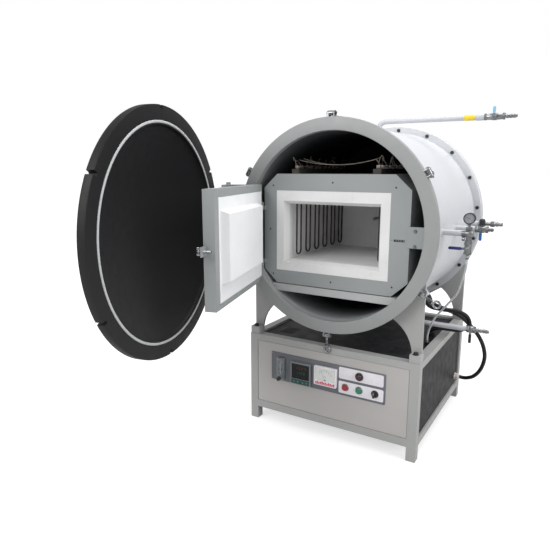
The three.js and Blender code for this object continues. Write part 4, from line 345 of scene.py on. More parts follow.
# paint on sheet steel: two close tones, orange peel, rounded and slightly worn edges, and where it is asked for a
# painted shade, darker towards the top and away from the front
def paintLook(name, s):
    look, tree, shader, where = startLook(name)
    patches = cloudy(tree, where, s.get("patches", 5.0), 4.0, s.get("streaks"))
    colour = blended(tree, ranged(tree, patches, (0.35, 0.65), (0.0, 1.0)), s["colour"], s["second"])
    # painted shade: the colour goes from the painted lit colour low down and near the front to the dark colour higher
    # up and deeper in
    if "paintedShadeHeights" in s:
        spot = tree.nodes.new("ShaderNodeSeparateXYZ")
        tree.links.new(where, spot.inputs["Vector"])
        paintedLitShare = ranged(tree, spot.outputs["Z"], s["paintedShadeHeights"], (1.0, 0.12))
        if "paintedShadeDepths" in s:
            paintedLitShare = product(tree, ranged(tree, spot.outputs["Y"], s["paintedShadeDepths"], (1.0, 0.0)), paintedLitShare)
        colour = blended(tree, paintedLitShare, colour, s["cleanAndPaintedLit"])
    rounded = roundedEdges(tree, s.get("edge", 1.2))
    surface = tree.nodes.new("ShaderNodeNewGeometry")
    flatness = tree.nodes.new("ShaderNodeVectorMath")
    flatness.operation = "DOT_PRODUCT"
    tree.links.new(rounded, flatness.inputs[0])
    tree.links.new(surface.outputs["Normal"], flatness.inputs[1])
    edges = ranged(tree, flatness.outputs["Value"], (0.86, 0.985), (1.0, 0.0))
    chips = mottled(tree, where, (160.0, 5.0), (0.48, 0.62), (0.0, s.get("wear", 0.5)))
    colour = blended(tree, product(tree, edges, chips), colour, s.get("worn", s["second"]))
    specks = mottled(tree, where, (420.0, 2.0), (0.68, 0.76), (0.0, s.get("specks", 0.25)))
    feed(tree, shader.inputs["Base Color"], blended(tree, specks, colour, s.get("dust", s["second"])))
    feed(tree, shader.inputs["Roughness"], mottled(tree, where, (28.0, 3.0), (0.3, 0.7), s["rough"]))
    peel = cloudy(tree, where, s.get("peelSize", 650.0), 2.0)
    feed(tree, shader.inputs["Normal"], bumped(tree, peel, s.get("peel", 0.12), 0.4, rounded))
    shader.inputs["Specular IOR Level"].default_value = s.get("shine", 0.5)
    return look


# stainless or plated steel with fine drawn lines
def steelLook(name, s):
    look, tree, shader, where = startLook(name)
    lines = cloudy(tree, where, 300.0, 4.0, (1.0, 1.0, 12.0))
    spots = mottled(tree, where, (45.0, 5.0), (0.4, 0.7), (0.0, 1.0))
    feed(tree, shader.inputs["Base Color"], blended(tree, spots, s["colour"], s["second"]))
    feed(tree, shader.inputs["Roughness"], ranged(tree, lines, (0.3, 0.7), s["rough"]))
    feed(tree, shader.inputs["Normal"], bumped(tree, lines, s.get("scratch", 0.08), 0.2))
    shader.inputs["Metallic"].default_value = s.get("metal", 1.0)
    return look


# moulded plastic, rubber or card: a fine grain and a little dust
def mouldedLook(name, s):
    look, tree, shader, where = startLook(name)
    dust = mottled(tree, where, (60.0, 6.0), (0.45, 0.8), (0.0, 1.0))
    feed(tree, shader.inputs["Base Color"], blended(tree, dust, s["colour"], s["second"]))
    feed(tree, shader.inputs["Roughness"], mottled(tree, where, (90.0, 3.0), (0.3, 0.7), s["rough"]))
    grain = cloudy(tree, where, s.get("grainSize", 1400.0), 2.0)
    rounded = roundedEdges(tree, s.get("edge", 0.4))
    feed(tree, shader.inputs["Normal"], bumped(tree, grain, s.get("grain", 0.1), 0.2, rounded))
    shader.inputs["Coat Weight"].default_value = s.get("coat", 0.0)
    shader.inputs["Specular IOR Level"].default_value = s.get("shine", 0.5)
    return look


# clear plastic and glass: thin covers are mostly see-through, the hose lets light through its wall
def clearLook(name, s):
    look, tree, shader, where = startLook(name)
    shader.inputs["Base Color"].default_value = s["colour"]
    shader.inputs["Transmission Weight"].default_value = s.get("clear", 0.0)
    shader.inputs["Alpha"].default_value = s.get("body", 1.0)
    shader.inputs["IOR"].default_value = s.get("ior", 1.45)
    feed(tree, shader.inputs["Roughness"], mottled(tree, where, (70.0, 4.0), (0.35, 0.7), s["rough"]))
    feed(tree, shader.inputs["Normal"], bumped(tree, cloudy(tree, where, 120.0, 2.0), 0.05, 0.3))
    return look


# vacuum-formed fibre board: matt, slightly fibrous and pitted, a little soiled
def fibreLook(name, s):
    look, tree, shader, where = startLook(name)
    clouds = mottled(tree, where, (9.0, 5.0), (0.35, 0.7), (0.0, 1.0))
    stain = mottled(tree, where, (34.0, 8.0), (0.60, 0.78), (0.0, s.get("stain", 0.35)))
    cleanAndPaintedLit = blended(tree, clouds, s["colour"], s["second"])
    feed(tree, shader.inputs["Base Color"], blended(tree, stain, cleanAndPaintedLit, s["soil"]))
    shader.inputs["Roughness"].default_value = 0.95
    fibres = bumped(tree, cloudy(tree, where, 260.0, 8.0, (1.0, 1.0, 2.2)), 0.35, 0.7, roundedEdges(tree, 2.5))
    feed(tree, shader.inputs["Normal"], bumped(tree, cloudy(tree, where, 26.0, 3.0), 0.3, 2.0, fibres))
    return look


# faintly lit figures on a dark screen
def glowLook(name, s):
    look, tree, shader, where = startLook(name)
    colour = blended(tree, cloudy(tree, where, 900.0), s["colour"], s["second"])
    feed(tree, shader.inputs["Base Color"], colour)
    feed(tree, shader.inputs["Emission Color"], colour)
    shader.inputs["Emission Strength"].default_value = s["glow"]
    return look


looks = {
    "frame": paintLook("framePaint", {
        "colour": tint(166, 167, 165), "second": tint(161, 162, 160), "worn": tint(118, 119, 118),
        "rough": (0.38, 0.55), "wear": 0.4}),
    "panel": paintLook("panelPaint", {
        "colour": tint(180, 177, 175), "second": tint(176, 173, 171), "worn": tint(136, 135, 134),
        "rough": (0.42, 0.58), "wear": 0.3, "peel": 0.06}),
    "darkPanel": paintLook("darkPanelPaint", {
        "colour": tint(33, 34, 36), "second": tint(27, 28, 30), "worn": tint(84, 84, 84), "dust": tint(62, 62, 62),
        "rough": (0.42, 0.56), "wear": 0.25, "patches": 45.0, "streaks": (1.0, 1.0, 0.04), "peel": 0.04,
        "specks": 0.08, "shine": 0.25}),
    "fascia": paintLook("fasciaPaint", {
        "colour": tint(106, 108, 114), "second": tint(98, 100, 106), "worn": tint(150, 151, 152),
        "rough": (0.35, 0.5), "edge": 0.5, "wear": 0.3}),
    "shell": paintLook("shellPaint", {
        "colour": tint(205, 207, 211), "second": tint(201, 203, 208), "worn": tint(170, 172, 174),
        "dust": tint(188, 190, 192), "rough": (0.3, 0.38), "patches": 2.0, "wear": 0.2, "peel": 0.015,
        "specks": 0.1}),
    # the bore's dark colour is painted shade; its pale paint shows only as a painted lit share near the front and
    # towards the bottom, and the top and the back are painted dark
    "bore": paintLook("borePaintedShade", {
        "colour": tint(44, 46, 48), "second": tint(38, 40, 42), "worn": tint(56, 58, 60),
        "cleanAndPaintedLit": tint(176, 179, 182), "paintedShadeDepths": (0.0, 0.24), "paintedShadeHeights": (0.72, 1.2), "rough": (0.5, 0.7), "patches": 3.0,
        "wear": 0.2, "peel": 0.1, "shine": 0.3}),
    "flange": paintLook("flangePaint", {
        "colour": tint(150, 152, 152), "second": tint(146, 148, 148), "worn": tint(112, 113, 112),
        "rough": (0.38, 0.52), "wear": 0.4, "peel": 0.05}),
    "ring": paintLook("ringPaint", {
        "colour": tint(200, 202, 205), "second": tint(196, 198, 202), "worn": tint(150, 152, 153),
        "dust": tint(180, 182, 184), "rough": (0.34, 0.46), "patches": 2.0, "wear": 0.35, "peel": 0.04}),
    # painted shade: the lid's dish goes from the lighter colour at the bottom to the darker colour at the top
    "lid": paintLook("lidPaint", {
        "colour": tint(20, 20, 22), "second": tint(18, 18, 20), "worn": tint(52, 52, 53), "dust": tint(42, 42, 42),
        "cleanAndPaintedLit": tint(46, 46, 47), "paintedShadeHeights": (0.5, 1.2), "rough": (0.42, 0.52), "wear": 0.3, "patches": 2.0,
        "peel": 0.05, "peelSize": 420.0, "specks": 0.06, "shine": 0.18}),
    "shelf": paintLook("shelfPaint", {
        "colour": tint(178, 180, 180), "second": tint(172, 174, 174), "worn": tint(128, 130, 129),
        "rough": (0.38, 0.52), "wear": 0.3, "edge": 0.8, "peel": 0.05}),
    "box": paintLook("boxPaint", {
        "colour": tint(150, 154, 154), "second": tint(146, 150, 150), "worn": tint(118, 120, 119),
        "rough": (0.38, 0.52), "wear": 0.3, "edge": 0.8, "peel": 0.05}),
    "fibre": fibreLook("fibreBoard", {
        "colour": tint(226, 226, 226), "second": tint(219, 219, 218), "soil": tint(196, 190, 180)}),
    "plugFibre": fibreLook("doorFibreBoard", {
        "colour": tint(232, 233, 235), "second": tint(227, 228, 230), "soil": tint(214, 210, 204), "stain": 0.2}),
    "heater": steelLook("heaterRod", {
        "colour": tint(66, 58, 52), "second": tint(44, 38, 34), "rough": (0.55, 0.8), "metal": 0.4, "scratch": 0.3}),
    "steel": steelLook("drawnSteel", {
        "colour": tint(150, 151, 152), "second": tint(104, 105, 107), "rough": (0.22, 0.42)}),
    "chrome": steelLook("platedSteel", {
        "colour": tint(164, 166, 169), "second": tint(112, 113, 115), "rough": (0.12, 0.28)}),
    "darkSteel": steelLook("blackenedSteel", {
        "colour": tint(74, 74, 76), "second": tint(52, 52, 54), "rough": (0.35, 0.55)}),
    "pipePaint": paintLook("pipePaint", {
        "colour": tint(196, 198, 202), "second": tint(186, 189, 194), "worn": tint(146, 148, 150),
        "rough": (0.28, 0.4), "wear": 0.3, "peel": 0.03}),
    "yellow": mouldedLook("yellowBand", {
        "colour": tint(238, 206, 40), "second": tint(222, 190, 40), "rough": (0.35, 0.5)}),
    "black": mouldedLook("blackPlastic", {
        "colour": tint(34, 34, 35), "second": tint(48, 48, 48), "rough": (0.3, 0.48)}),
    "red": mouldedLook("redPlastic", {
        "colour": tint(156, 28, 36), "second": tint(138, 24, 32), "rough": (0.2, 0.36), "coat": 0.3}),
    "green": mouldedLook("greenPlastic", {
        "colour": tint(28, 122, 92), "second": tint(24, 106, 80), "rough": (0.2, 0.36), "coat": 0.3}),
    "blue": mouldedLook("blueSleeve", {
        "colour": tint(40, 104, 178), "second": tint(36, 90, 156), "rough": (0.3, 0.5)}),
    "navy": mouldedLook("navySleeve", {"colour": tint(36, 50, 108), "second": tint(30, 42, 90), "rough": (0.3, 0.5)}),
    "paleBlue": mouldedLook("paleBlueSleeve", {
        "colour": tint(140, 190, 222), "second": tint(126, 174, 208), "rough": (0.3, 0.5)}),
    "white": mouldedLook("whitePlastic", {
        "colour": tint(229, 226, 232), "second": tint(220, 217, 224), "rough": (0.25, 0.4), "coat": 0.2}),
    "ceramic": mouldedLook("ceramicBar", {
        "colour": tint(74, 70, 65), "second": tint(52, 48, 45), "rough": (0.7, 0.9), "grain": 0.3,
        "grainSize": 500.0}),
    "gland": mouldedLook("nylonGland", {
        "colour": tint(214, 206, 204), "second": tint(196, 188, 186), "rough": (0.4, 0.6)}),
    "silicone": mouldedLook("siliconeRing", {
        "colour": tint(188, 191, 191), "second": tint(174, 177, 177), "rough": (0.5, 0.7), "edge": 1.0}),
    "cable": mouldedLook("cableJacket", {
        "colour": tint(15, 15, 16), "second": tint(24, 24, 25), "rough": (0.3, 0.46), "grain": 0.15,
        "grainSize": 700.0, "shine": 0.35}),
    "acrylic": clearLook("clearAcrylic", {"colour": tint(226, 234, 238), "body": 0.09, "rough": (0.03, 0.1)}),
    "glass": clearLook("dialGlass", {"colour": tint(214, 218, 224), "body": 0.1, "rough": (0.02, 0.05)}),
    "hose": clearLook("clearHose", {"colour": tint(222, 226, 226), "clear": 0.45, "rough": (0.16, 0.3), "ior": 1.4}),
    "clamp": steelLook("clampMetal", {
        "colour": tint(168, 162, 156), "second": tint(96, 90, 84), "rough": (0.45, 0.7), "metal": 0.6}),
    "lead": mouldedLook("leadSleeve", {
        "colour": tint(140, 130, 122), "second": tint(70, 64, 60), "rough": (0.7, 0.9), "grain": 0.3}),
    "greyPlastic": mouldedLook("greyPlastic", {
        "colour": tint(118, 122, 124), "second": tint(108, 112, 114), "rough": (0.35, 0.5)}),
    "darkPlate": mouldedLook("darkPlate", {
        "colour": tint(64, 67, 72), "second": tint(56, 60, 64), "rough": (0.35, 0.5)}),
    "dial": mouldedLook("dialCard", {
        "colour": tint(232, 232, 228), "second": tint(224, 224, 220), "rough": (0.5, 0.6)}),
    "gaugeCard": mouldedLook("gaugeCard", {
        "colour": tint(136, 138, 140), "second": tint(126, 128, 130), "rough": (0.5, 0.6)}),
    "tealKey": mouldedLook("tealKey", {
        "colour": tint(44, 104, 92), "second": tint(38, 92, 82), "rough": (0.3, 0.45)}),
    "darkLamp": mouldedLook("darkLamp", {
        "colour": tint(60, 22, 22), "second": tint(50, 18, 18), "rough": (0.2, 0.3)}),
    "redGlow": glowLook("redFigures", {"colour": tint(92, 48, 46), "second": tint(78, 40, 40), "glow": 0.12}),
    "greenGlow": glowLook("greenFigures", {"colour": tint(52, 98, 78), "second": tint(44, 84, 68), "glow": 0.12}),
    "screen": mouldedLook("darkScreen", {
        "colour": tint(14, 18, 21), "second": tint(18, 24, 27), "rough": (0.08, 0.18), "coat": 0.1, "grain": 0.0,
        "shine": 0.25}),
    "teal": mouldedLook("tealStrip", {"colour": tint(26, 66, 60), "second": tint(22, 58, 52), "rough": (0.25, 0.4)}),
    "ink": mouldedLook("blackInk", {"colour": tint(20, 20, 20), "second": tint(30, 30, 30), "rough": (0.5, 0.6)}),
    "redInk": mouldedLook("redInk", {"colour": tint(206, 40, 48), "second": tint(190, 36, 44), "rough": (0.4, 0.5)}),
    "maroon": mouldedLook("maroonLens", {
        "colour": tint(70, 18, 32), "second": tint(54, 14, 24), "rough": (0.15, 0.3), "coat": 0.5}),
    "paleInk": mouldedLook("paleInk", {
        "colour": tint(206, 216, 212), "second": tint(190, 200, 196), "rough": (0.4, 0.5)}),
}
print("finishes mixed:", len(looks))


def coat(look, *nodeNames):
    for nodeName in nodeNames:
        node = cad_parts[nodeName]
        node.data.materials.clear()
        node.data.materials.append(looks[look])


coat("frame", "stand_frame", "front_saddle", "rear_saddle")
coat("panel", "front_panel")
coat("darkPanel", "left_side_panel", "right_side_panel", "rear_panel", "bottom_panel", "top_deck")
coat("fascia", "control_fascia")
coat("black", "temperature_controller", "flowmeter_knob", "relief_knob", "selector_switch", "alarm_buzzer")
coat("red", "stop_button")
coat("green", "start_button")
coat("white", "ammeter")
coat("acrylic", "flowmeter_body")
coat("gland", "cable_gland")
coat("shell", "vessel_shell", "rear_cover")
coat("flange", "front_flange", "rear_flange", "lid_hinge_bracket")
coat("box", "furnace_box", "box_bracket", "inner_door_shell")
coat("shelf", "box_shelf")
coat("fibre", "chamber_lining")
coat("plugFibre", "inner_door_fibre")
coat("heater", "left_heating_elements", "right_heating_elements")
coat("ceramic", "left_terminals", "right_terminals")
coat("steel", "thermocouple", "vent_pipe", "gas_manifold", "exhaust_pipe", "rear_side_pipe", "vacuum_pipe")
coat("chrome", "door_latch_screw", *[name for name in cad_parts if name.startswith("swing_bolt_")])
coat("lid", "lid_shell", "lid_hinge_arm")
coat("silicone", "lid_gasket")
coat("paleBlue", "vent_valve_lever")
coat("navy", "manifold_valve_lever")
coat("blue", "exhaust_valve_lever")
coat("black", "vacuum_valve_lever")
coat("white", "pressure_gauge")
coat("hose", "gas_hose")
coat("cable", "power_cable", "element_cable")


# hose and cables, along the same points as in the source
routes = {
    "gasHose": {
        "points": [(480, 144, 783.7), (480, 144, 765), (478, 150, 742), (468, 172, 709), (451, 205, 656),
                   (435, 226, 619), (397, 246, 567), (352, 268, 506), (328, 280, 450), (322, 282, 420),
                   (322, 282, 394.3)],
        "radius": 4.0, "look": "hose", "node": "gas_hose", "stiffness": "medium", "slot": "clear_hose"},
    "powerCable": {
        "points": [(387.6, 656, 124), (411.3, 656, 124), (448, 642, 143), (482, 617, 191), (500, 595, 257),
                   (496, 574, 312), (478, 553, 364), (440, 528, 420), (400, 492, 466), (350, 462, 494),
                   (293.75, 450, 515.92), (268.24, 450, 546.33)],
        "radius": 8.5, "look": "cable", "node": "power_cable", "stiffness": "stiff", "slot": "cable_rubber"},
    "elementCable": {
        "points": [(304, 410, 400.3), (304, 410, 406.3), (330, 416, 420), (370, 428, 418), (420, 436, 420),
                   (452, 440, 444), (440, 436, 482), (400, 424, 502), (350, 408, 506), (293.75, 400, 515.92),
                   (268.24, 400, 546.33)],
        "radius": 9.0, "look": "cable", "node": "element_cable", "stiffness": "stiff", "slot": "cable_rubber"},
}


# a smooth line through the points that swings no wider than they do
def smoothRoute(points, stepsBetween=8):
    points = [Vector(p) for p in points]
    ends = [2 * points[0] - points[1]] + points + [2 * points[-1] - points[-2]]
    line = []
    for i in range(1, len(ends) - 2):
        p0, p1, p2, p3 = ends[i - 1:i + 3]
        k0 = 0.0
        k1 = k0 + math.sqrt((p1 - p0).length)
        k2 = k1 + math.sqrt((p2 - p1).length)
        k3 = k2 + math.sqrt((p3 - p2).length)
        for step in range(stepsBetween):
            k = k1 + (k2 - k1) * step / stepsBetween
            a1 = p0 * (k1 - k) / (k1 - k0) + p1 * (k - k0) / (k1 - k0)
            a2 = p1 * (k2 - k) / (k2 - k1) + p2 * (k - k1) / (k2 - k1)
            a3 = p2 * (k3 - k) / (k3 - k2) + p3 * (k - k2) / (k3 - k2)
            b1 = a1 * (k2 - k) / (k2 - k0) + a2 * (k - k0) / (k2 - k0)
            b2 = a2 * (k3 - k) / (k3 - k1) + a3 * (k - k1) / (k3 - k1)
            line.append(b1 * (k2 - k) / (k2 - k1) + b2 * (k - k1) / (k2 - k1))
    return line + [points[-1]]


def layLine(name, line, radius, look, sides=6):
    drawing = bpy.data.curves.new(name, "CURVE")
    drawing.dimensions = "3D"
    drawing.bevel_depth = radius
    drawing.bevel_resolution = sides
    drawing.use_fill_caps = True
    run = drawing.splines.new("POLY")
    run.points.add(len(line) - 1)
    for point, place in zip(run.points, line):
        point.co = (*place, 1.0)
    drawing.materials.append(look)
    piece = bpy.data.objects.new(name, drawing)
    bpy.context.scene.collection.objects.link(piece)
    return piece


for name, route in routes.items():
    line = [standPlace @ p for p in smoothRoute(route["points"])]
    length = sum((b - a).length for a, b in zip(line, line[1:]))
    cord = layLine(name, line, route["radius"] * mm, looks[route["look"]])
    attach(cord, "vessel_and_stand")
    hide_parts(route["node"])
    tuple(line[0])
    print("laid", name, round(length, 3), "m")


# steps of a shallow dish from its rim to its middle
def dishSteps(rim, rimHeight, top, count=18, middle=3.0):
    rise = abs(top - rimHeight)
    sphere = (rim * rim + rise * rise) / (2 * rise)
    sign = 1 if top > rimHeight else -1
    radii = [rim + (middle - rim) * i / count for i in range(count + 1)]
    return [(top - sign * (sphere - math.sqrt(sphere * sphere - r * r)), r) for r in radii]


# a round section for a ring: steps round a small circle or oval
def roundSteps(major, wire, tall, count=14):
    turns = [2 * math.pi * i / count for i in range(count)]
    return [(tall * math.sin(turn), major + wire * math.cos(turn)) for turn in turns]


# a nut or screw head: flats with a turned chamfer, flat side down at zero
def flatted(name, across, tall, hole=0.0, sides=6):
    radius = across / 2
    soft = min(across * 0.07, tall * 0.25)
    return lathed(name, [(0, radius * 0.97), (soft * 0.4, radius), (tall - soft, radius), (tall, radius * 0.9),
                         (tall, max(hole, radius * 0.3))], sides, 0)


def washer(name, radius, thick=1.6):
    return lathed(name, [(0, radius - 0.4), (0.4, radius), (thick - 0.4, radius), (thick, radius - 0.4),
                         (thick, radius * 0.4)], 24)


# a threaded stud between two heights
def threaded(name, radius, low, high, pitch=1.6, sides=16):
    steps = [(low, radius * 0.8)]
    height = low + 0.3
    while height + pitch < high - 0.3:
        steps += [(height, radius * 0.86), (height + pitch * 0.5, radius)]
        height += pitch
    return lathed(name, steps + [(high - 0.4, radius * 0.86), (high, radius * 0.72)], sides, 60)


# how far a place is from the vessel's axis, in millimetres
def fromAxis(place):
    axis = vesselPlace.translation
    return math.hypot(place.x - axis.x, place.z - axis.z) / mm


# vessel: turned shell with its cable seats, welded ring ends and a bore painted dark as painted shade, lighter only
# near its mouth and bottom
vesselSize = {"bore": 361.5, "shell": 387.0, "front": 26.2, "back": 711.8, "seatOut": 417.0, "seatRadius": 15.0,
              "seatTurn": 50.0, "seatDepths": (450.0, 400.0), "sides": 144}
s = vesselSize
bore, skin, front, back, fine = s["bore"], s["shell"], s["front"], s["back"], s["sides"]
shell = ringed("vesselShell", [(front, bore), (back, bore), (back, skin), (front, skin)], fine)
settle(shell, vesselPlace @ alongY, "shell", ["vessel_shell"])
# the bore's faces take the painted shade
alsoIn(shell, "bore", lambda middle, out: fromAxis(middle) < bore + 2)
for name, low in (("frontWeld", front + 0.6), ("rearWeld", back - 5.6)):
    bead = ringed(name, [(low - 0.5, skin - 1), (low + 5, skin - 1), (low + 4.4, skin + 1.6), (low + 2.2, skin + 3.2),
                         (low, skin + 4.2)], fine, 60)
    settle(bead, vesselPlace @ alongY, "shell")
radius, top = s["seatRadius"], s["seatOut"]
for depth in s["seatDepths"]:
    seat = lathed("cableSeat", [(bore + 2, radius), (skin + 1.5, radius + 4.5), (skin + 4.5, radius + 1.0),
                                (skin + 6, radius), (top - 1.5, radius), (top, radius - 1.5), (top, 5.0)], 32)
    settle(seat, vesselPlace @ turnedBy(s["seatTurn"], "Y") @ moved(0, depth, 0) @ alongX, "shell")
print("shell turned")

frontSize = {"rim": 410.0, "thick": 26.0, "soft": 2.0}
s = frontSize
rim, thick, soft = s["rim"], s["thick"], s["soft"]
flange = ringed("frontFlange", [
    (0, bore + 1.5), (1.5, bore), (thick, bore), (thick, rim - soft), (thick - 0.6, rim - 0.6), (thick - soft, rim),
    (soft, rim), (0.6, rim - 0.6), (0, rim - soft)], fine)
settle(flange, vesselPlace @ alongY, "flange", ["front_flange"])

# lugs and swing bolts at the six places round the front flange, each with its turn and how far its bolt is swung
lugSize = {"root": 366.0, "reach": 9.5, "from": 8.3, "thick": 7.0, "pin": 4.0, "head": 12.6, "headTall": 4.0}
boltSize = {"eye": 9.5, "eyeHole": 4.6, "eyeHalf": 8.0, "rod": 5.0, "nut": 40.6, "nutAcross": 21.5, "ringAt": 58.6,
            "ring": 12.5, "wire": 3.9}
bolts = {"swing_bolt_upper_right": (30, 190), "swing_bolt_top": (90, 190), "swing_bolt_upper_left": (150, 190),
         "swing_bolt_lower_left": (210, 90), "swing_bolt_bottom": (270, 90), "swing_bolt_lower_right": (330, 90)}
s = lugSize
reach, thick, pin, pinAt = s["reach"], s["thick"], s["pin"], drawn["lugRadius"]
ears = []
for low in (-s["from"] - thick, s["from"]):
    ears.append(slab("lugEar", (s["root"], -reach, low), (pinAt + reach, reach, low + thick), 0.8, reach - 0.2, 2))
    weld = lathed("lugWeld", [(0, 1.0), (0, reach - 1), (2.2, reach - 3.2), (2.6, 1.0)], 16)
    flattened = alongX @ Matrix.Diagonal((0.52, 0.96, 1.0, 1.0))
    ears.append(placed(weld, moved(frontSize["rim"] - 0.4, 0, low + thick / 2) @ flattened))
end = s["from"] + thick
lugPin = lathed("lugPin", [(-end - 3.9, pin - 1), (-end - 2.6, pin), (end, pin), (end + 1, 1.0)], 16)
firstLug = oneOf("lug", ears + [
    placed(flatted("lugHead", s["head"], s["headTall"]), moved(pinAt, 0, end)),
    placed(flatted("lugNut", s["head"], s["headTall"], pin), moved(pinAt, 0, -end) @ upsideDown),
    placed(lugPin, moved(pinAt, 0, 0))])
s = boltSize
eye, hole, half, rod = s["eye"], s["eyeHole"], s["eyeHalf"], s["rod"]
firstBolt = oneOf("swingBolt", [
    lathed("boltEye", [(-half, hole), (-half, eye - 1), (-half + 1, eye), (half - 1, eye), (half, eye - 1),
                       (half, hole)], 28),
    placed(lathed("boltShank", [(7.0, rod + 0.8), (10.0, rod), (18.0, rod), (18.6, rod - 0.7)], 20), alongMinusY),
    placed(threaded("boltThread", rod, 18.0, s["ringAt"] - s["ring"] + 1), alongMinusY),
    placed(flatted("boltNut", s["nutAcross"], 5.2, rod), moved(0, -s["nut"] - 0.8, 0) @ alongMinusY),
    placed(washer("boltWasher", 10.9, 1.2), moved(0, -s["nut"] + 0.2, 0) @ alongMinusY),
    placed(ringed("boltRing", roundSteps(s["ring"], s["wire"], s["wire"] * 0.92), 40, 60),
           moved(0, -s["ringAt"], 0) @ alongX)])
for name, (turn, opened) in bolts.items():
    atFlange = vesselPlace @ turnedBy(-turn, "Y")
    settle(twin(firstLug, moved(0, drawn["lugDepth"], 0), "lug"), atFlange, "steel")
    bolt = twin(firstBolt, name="detailed" + name.title().replace("_", ""))
    settle(bolt, atFlange @ moved(pinAt, drawn["lugDepth"], 0) @ turnedBy(opened, "Z"), "chrome",
           [name], body=name + "_body")
dropped(firstLug, firstBolt)
print("front flange, lugs and swing bolts made")

# rear ring with its bolts, the dished cover with its nuts, and the boss in the cover's middle
rearSize = {"rim": 418.0, "low": 712.0, "high": 738.0, "circle": 402.0, "bolts": 18, "first": 7.4, "head": 15.6,
            "edge": 1.4, "cover": 738.3, "coverBack": 762.3, "dome": 386.0, "apex": 838.3, "wall": 12.0, "boss": 24.0,
            "bossTall": 12.0}
s = rearSize
rim, edge, dome, apex = s["rim"], s["edge"], s["dome"], s["apex"]
low, high = s["low"], s["high"]
ring = ringed("rearRing", [(low, bore), (high, bore), (high, rim - edge), (high - edge, rim), (low + edge, rim),
                           (low, rim - edge)], fine)
settle(ring, vesselPlace @ alongY, "ring", ["rear_flange"])
# the ring's bore takes the bore's painted shade
alsoIn(ring, "bore", lambda middle, out: fromAxis(middle) < bore + 2)
low, high = s["cover"], s["coverBack"]
cover = lathed("rearCover", [
    *dishSteps(bore, low, apex - s["wall"])[::-1], (low, bore + 1), (low, rim - edge), (low + edge, rim),
    (high - edge, rim), (high, rim - edge), (high, dome + 3), (high + 1.6, dome - 1.5),
    *dishSteps(dome - 4, high + 2.6, apex)], fine)
settle(cover, vesselPlace @ alongY, "shell", ["rear_cover"])
# the cover's inner face takes the bore's painted shade
alsoIn(cover, "bore", lambda middle, out: out.y < -0.5 and fromAxis(middle) < bore - 0.5)
radius, top = s["boss"], apex + s["bossTall"]
boss = lathed("coverBoss", [
    (apex - 3, radius + 5), (apex + 0.5, radius + 4.0), (apex + 4, radius + 0.6), (apex + 5, radius), (top - 1, radius),
    (top, radius - 1), (top, 8.0)], 48)
settle(boss, vesselPlace @ alongY, "shell")
headPiece = oneOf("ringBolt", [placed(flatted("ringHead", s["head"], 5.6), moved(0, 0, 1.7)),
                               washer("ringWasher", 7.9)])
nutPiece = oneOf("ringNut", [placed(flatted("coverNut", s["head"], 6.4, 4.5), moved(0, 0, 1.6)),
                             washer("coverWasher", 9.4), threaded("coverStud", 4.4, 6.0, 12.0)])
heads, nuts = [], []
for i in range(s["bolts"]):
    turn = turnedBy(-(s["first"] + 360 / s["bolts"] * i), "Y")
    ahead = turn @ moved(s["circle"], s["low"] + 0.1, 0) @ alongMinusY
    behind = turn @ moved(s["circle"], s["coverBack"] - 0.1, 0) @ alongY
    heads.append(twin(headPiece, ahead @ turnedBy(17 * i, "Z"), "ringBolt"))
    nuts.append(twin(nutPiece, behind @ turnedBy(23 * i, "Z"), "ringNut"))
settle(oneOf("ringBolts", heads), vesselPlace, "darkSteel")
settle(oneOf("coverNuts", nuts), vesselPlace, "darkSteel")
dropped(headPiece, nutPiece)
print("rear ring and cover made")

# lid: turned disc with two dishes, six slots in its edge and a rubber ring in its groove
lidSize = {"rim": 430.0, "face": -2.3, "back": -30.3, "edge": 1.8, "groove": (371.0, 381.0, 5.0), "innerRim": 366.0,
           "straight": 12.0, "innerTop": -97.3, "outerRim": 386.0, "outerTop": -115.0, "notch": 6.5, "notchEnd": 420.5,
           "notchFrom": -36.0, "notchTo": 4.0, "soft": 0.7}
s = lidSize
rim, edge, face, back = s["rim"], s["edge"], s["face"], s["back"]
inner, outer, inside = s["innerRim"], s["outerRim"], s["face"] - s["straight"]
low, high, deep = s["groove"]
lid = lathed("lidDisc", [
    *dishSteps(outer - 5, back - 2.8, s["outerTop"])[::-1], (back - 1.4, outer - 2.0), (back, outer + 3),
    (back, rim - edge), (back + 0.5, rim - 0.5), (back + edge, rim), (face - edge, rim), (face - 0.5, rim - 0.5),
    (face, rim - edge), (face, high + 0.3), (face - 0.4, high), (face - deep, high), (face - deep, low),
    (face - 0.4, low), (face, low - 0.3), (face, inner + 1.2), (face - 1.2, inner), (inside + 3, inner),
    (inside - 1.5, inner - 2.5), *dishSteps(inner - 6, inside - 4, s["innerTop"])], fine)
cutters = []
for turn, _ in bolts.values():
    half, end, low, high = s["notch"], s["notchEnd"], s["notchFrom"], s["notchTo"]
    gap = placed(lathed("notchEnd", [(low, half), (high, half)], 20), moved(end, 0, 0))
    way = slab("notchWay", (end, -half, low), (rim + 6, half, high), 0)
    cutters += [placed(gap, turnedBy(-turn, "Z")), placed(way, turnedBy(-turn, "Z"))]
lid = softened(bored(lid, oneOf("notches", cutters)), s["soft"], 2, 60)
settle(lid, lidPlace @ alongY, "lid", ["lid_shell"], body="lid")
gasket = ringed("lidGasket", [
    (-7.0, 371.5), (-3.4, 371.4), (-1.4, 372.2), (-0.5, 374.0), (-0.35, 376.0), (-0.5, 378.0), (-1.4, 379.8),
    (-3.4, 380.6), (-7.0, 380.5)], fine, 70)
settle(gasket, lidPlace @ alongY, "silicone", ["lid_gasket"], body="lid")
print("lid and gasket made")


# cabinet: control plate, bare white plates, bezels, buttons and the selector
def facing(x, y, z):
    return onStand(x, y, z) @ alongMinusY


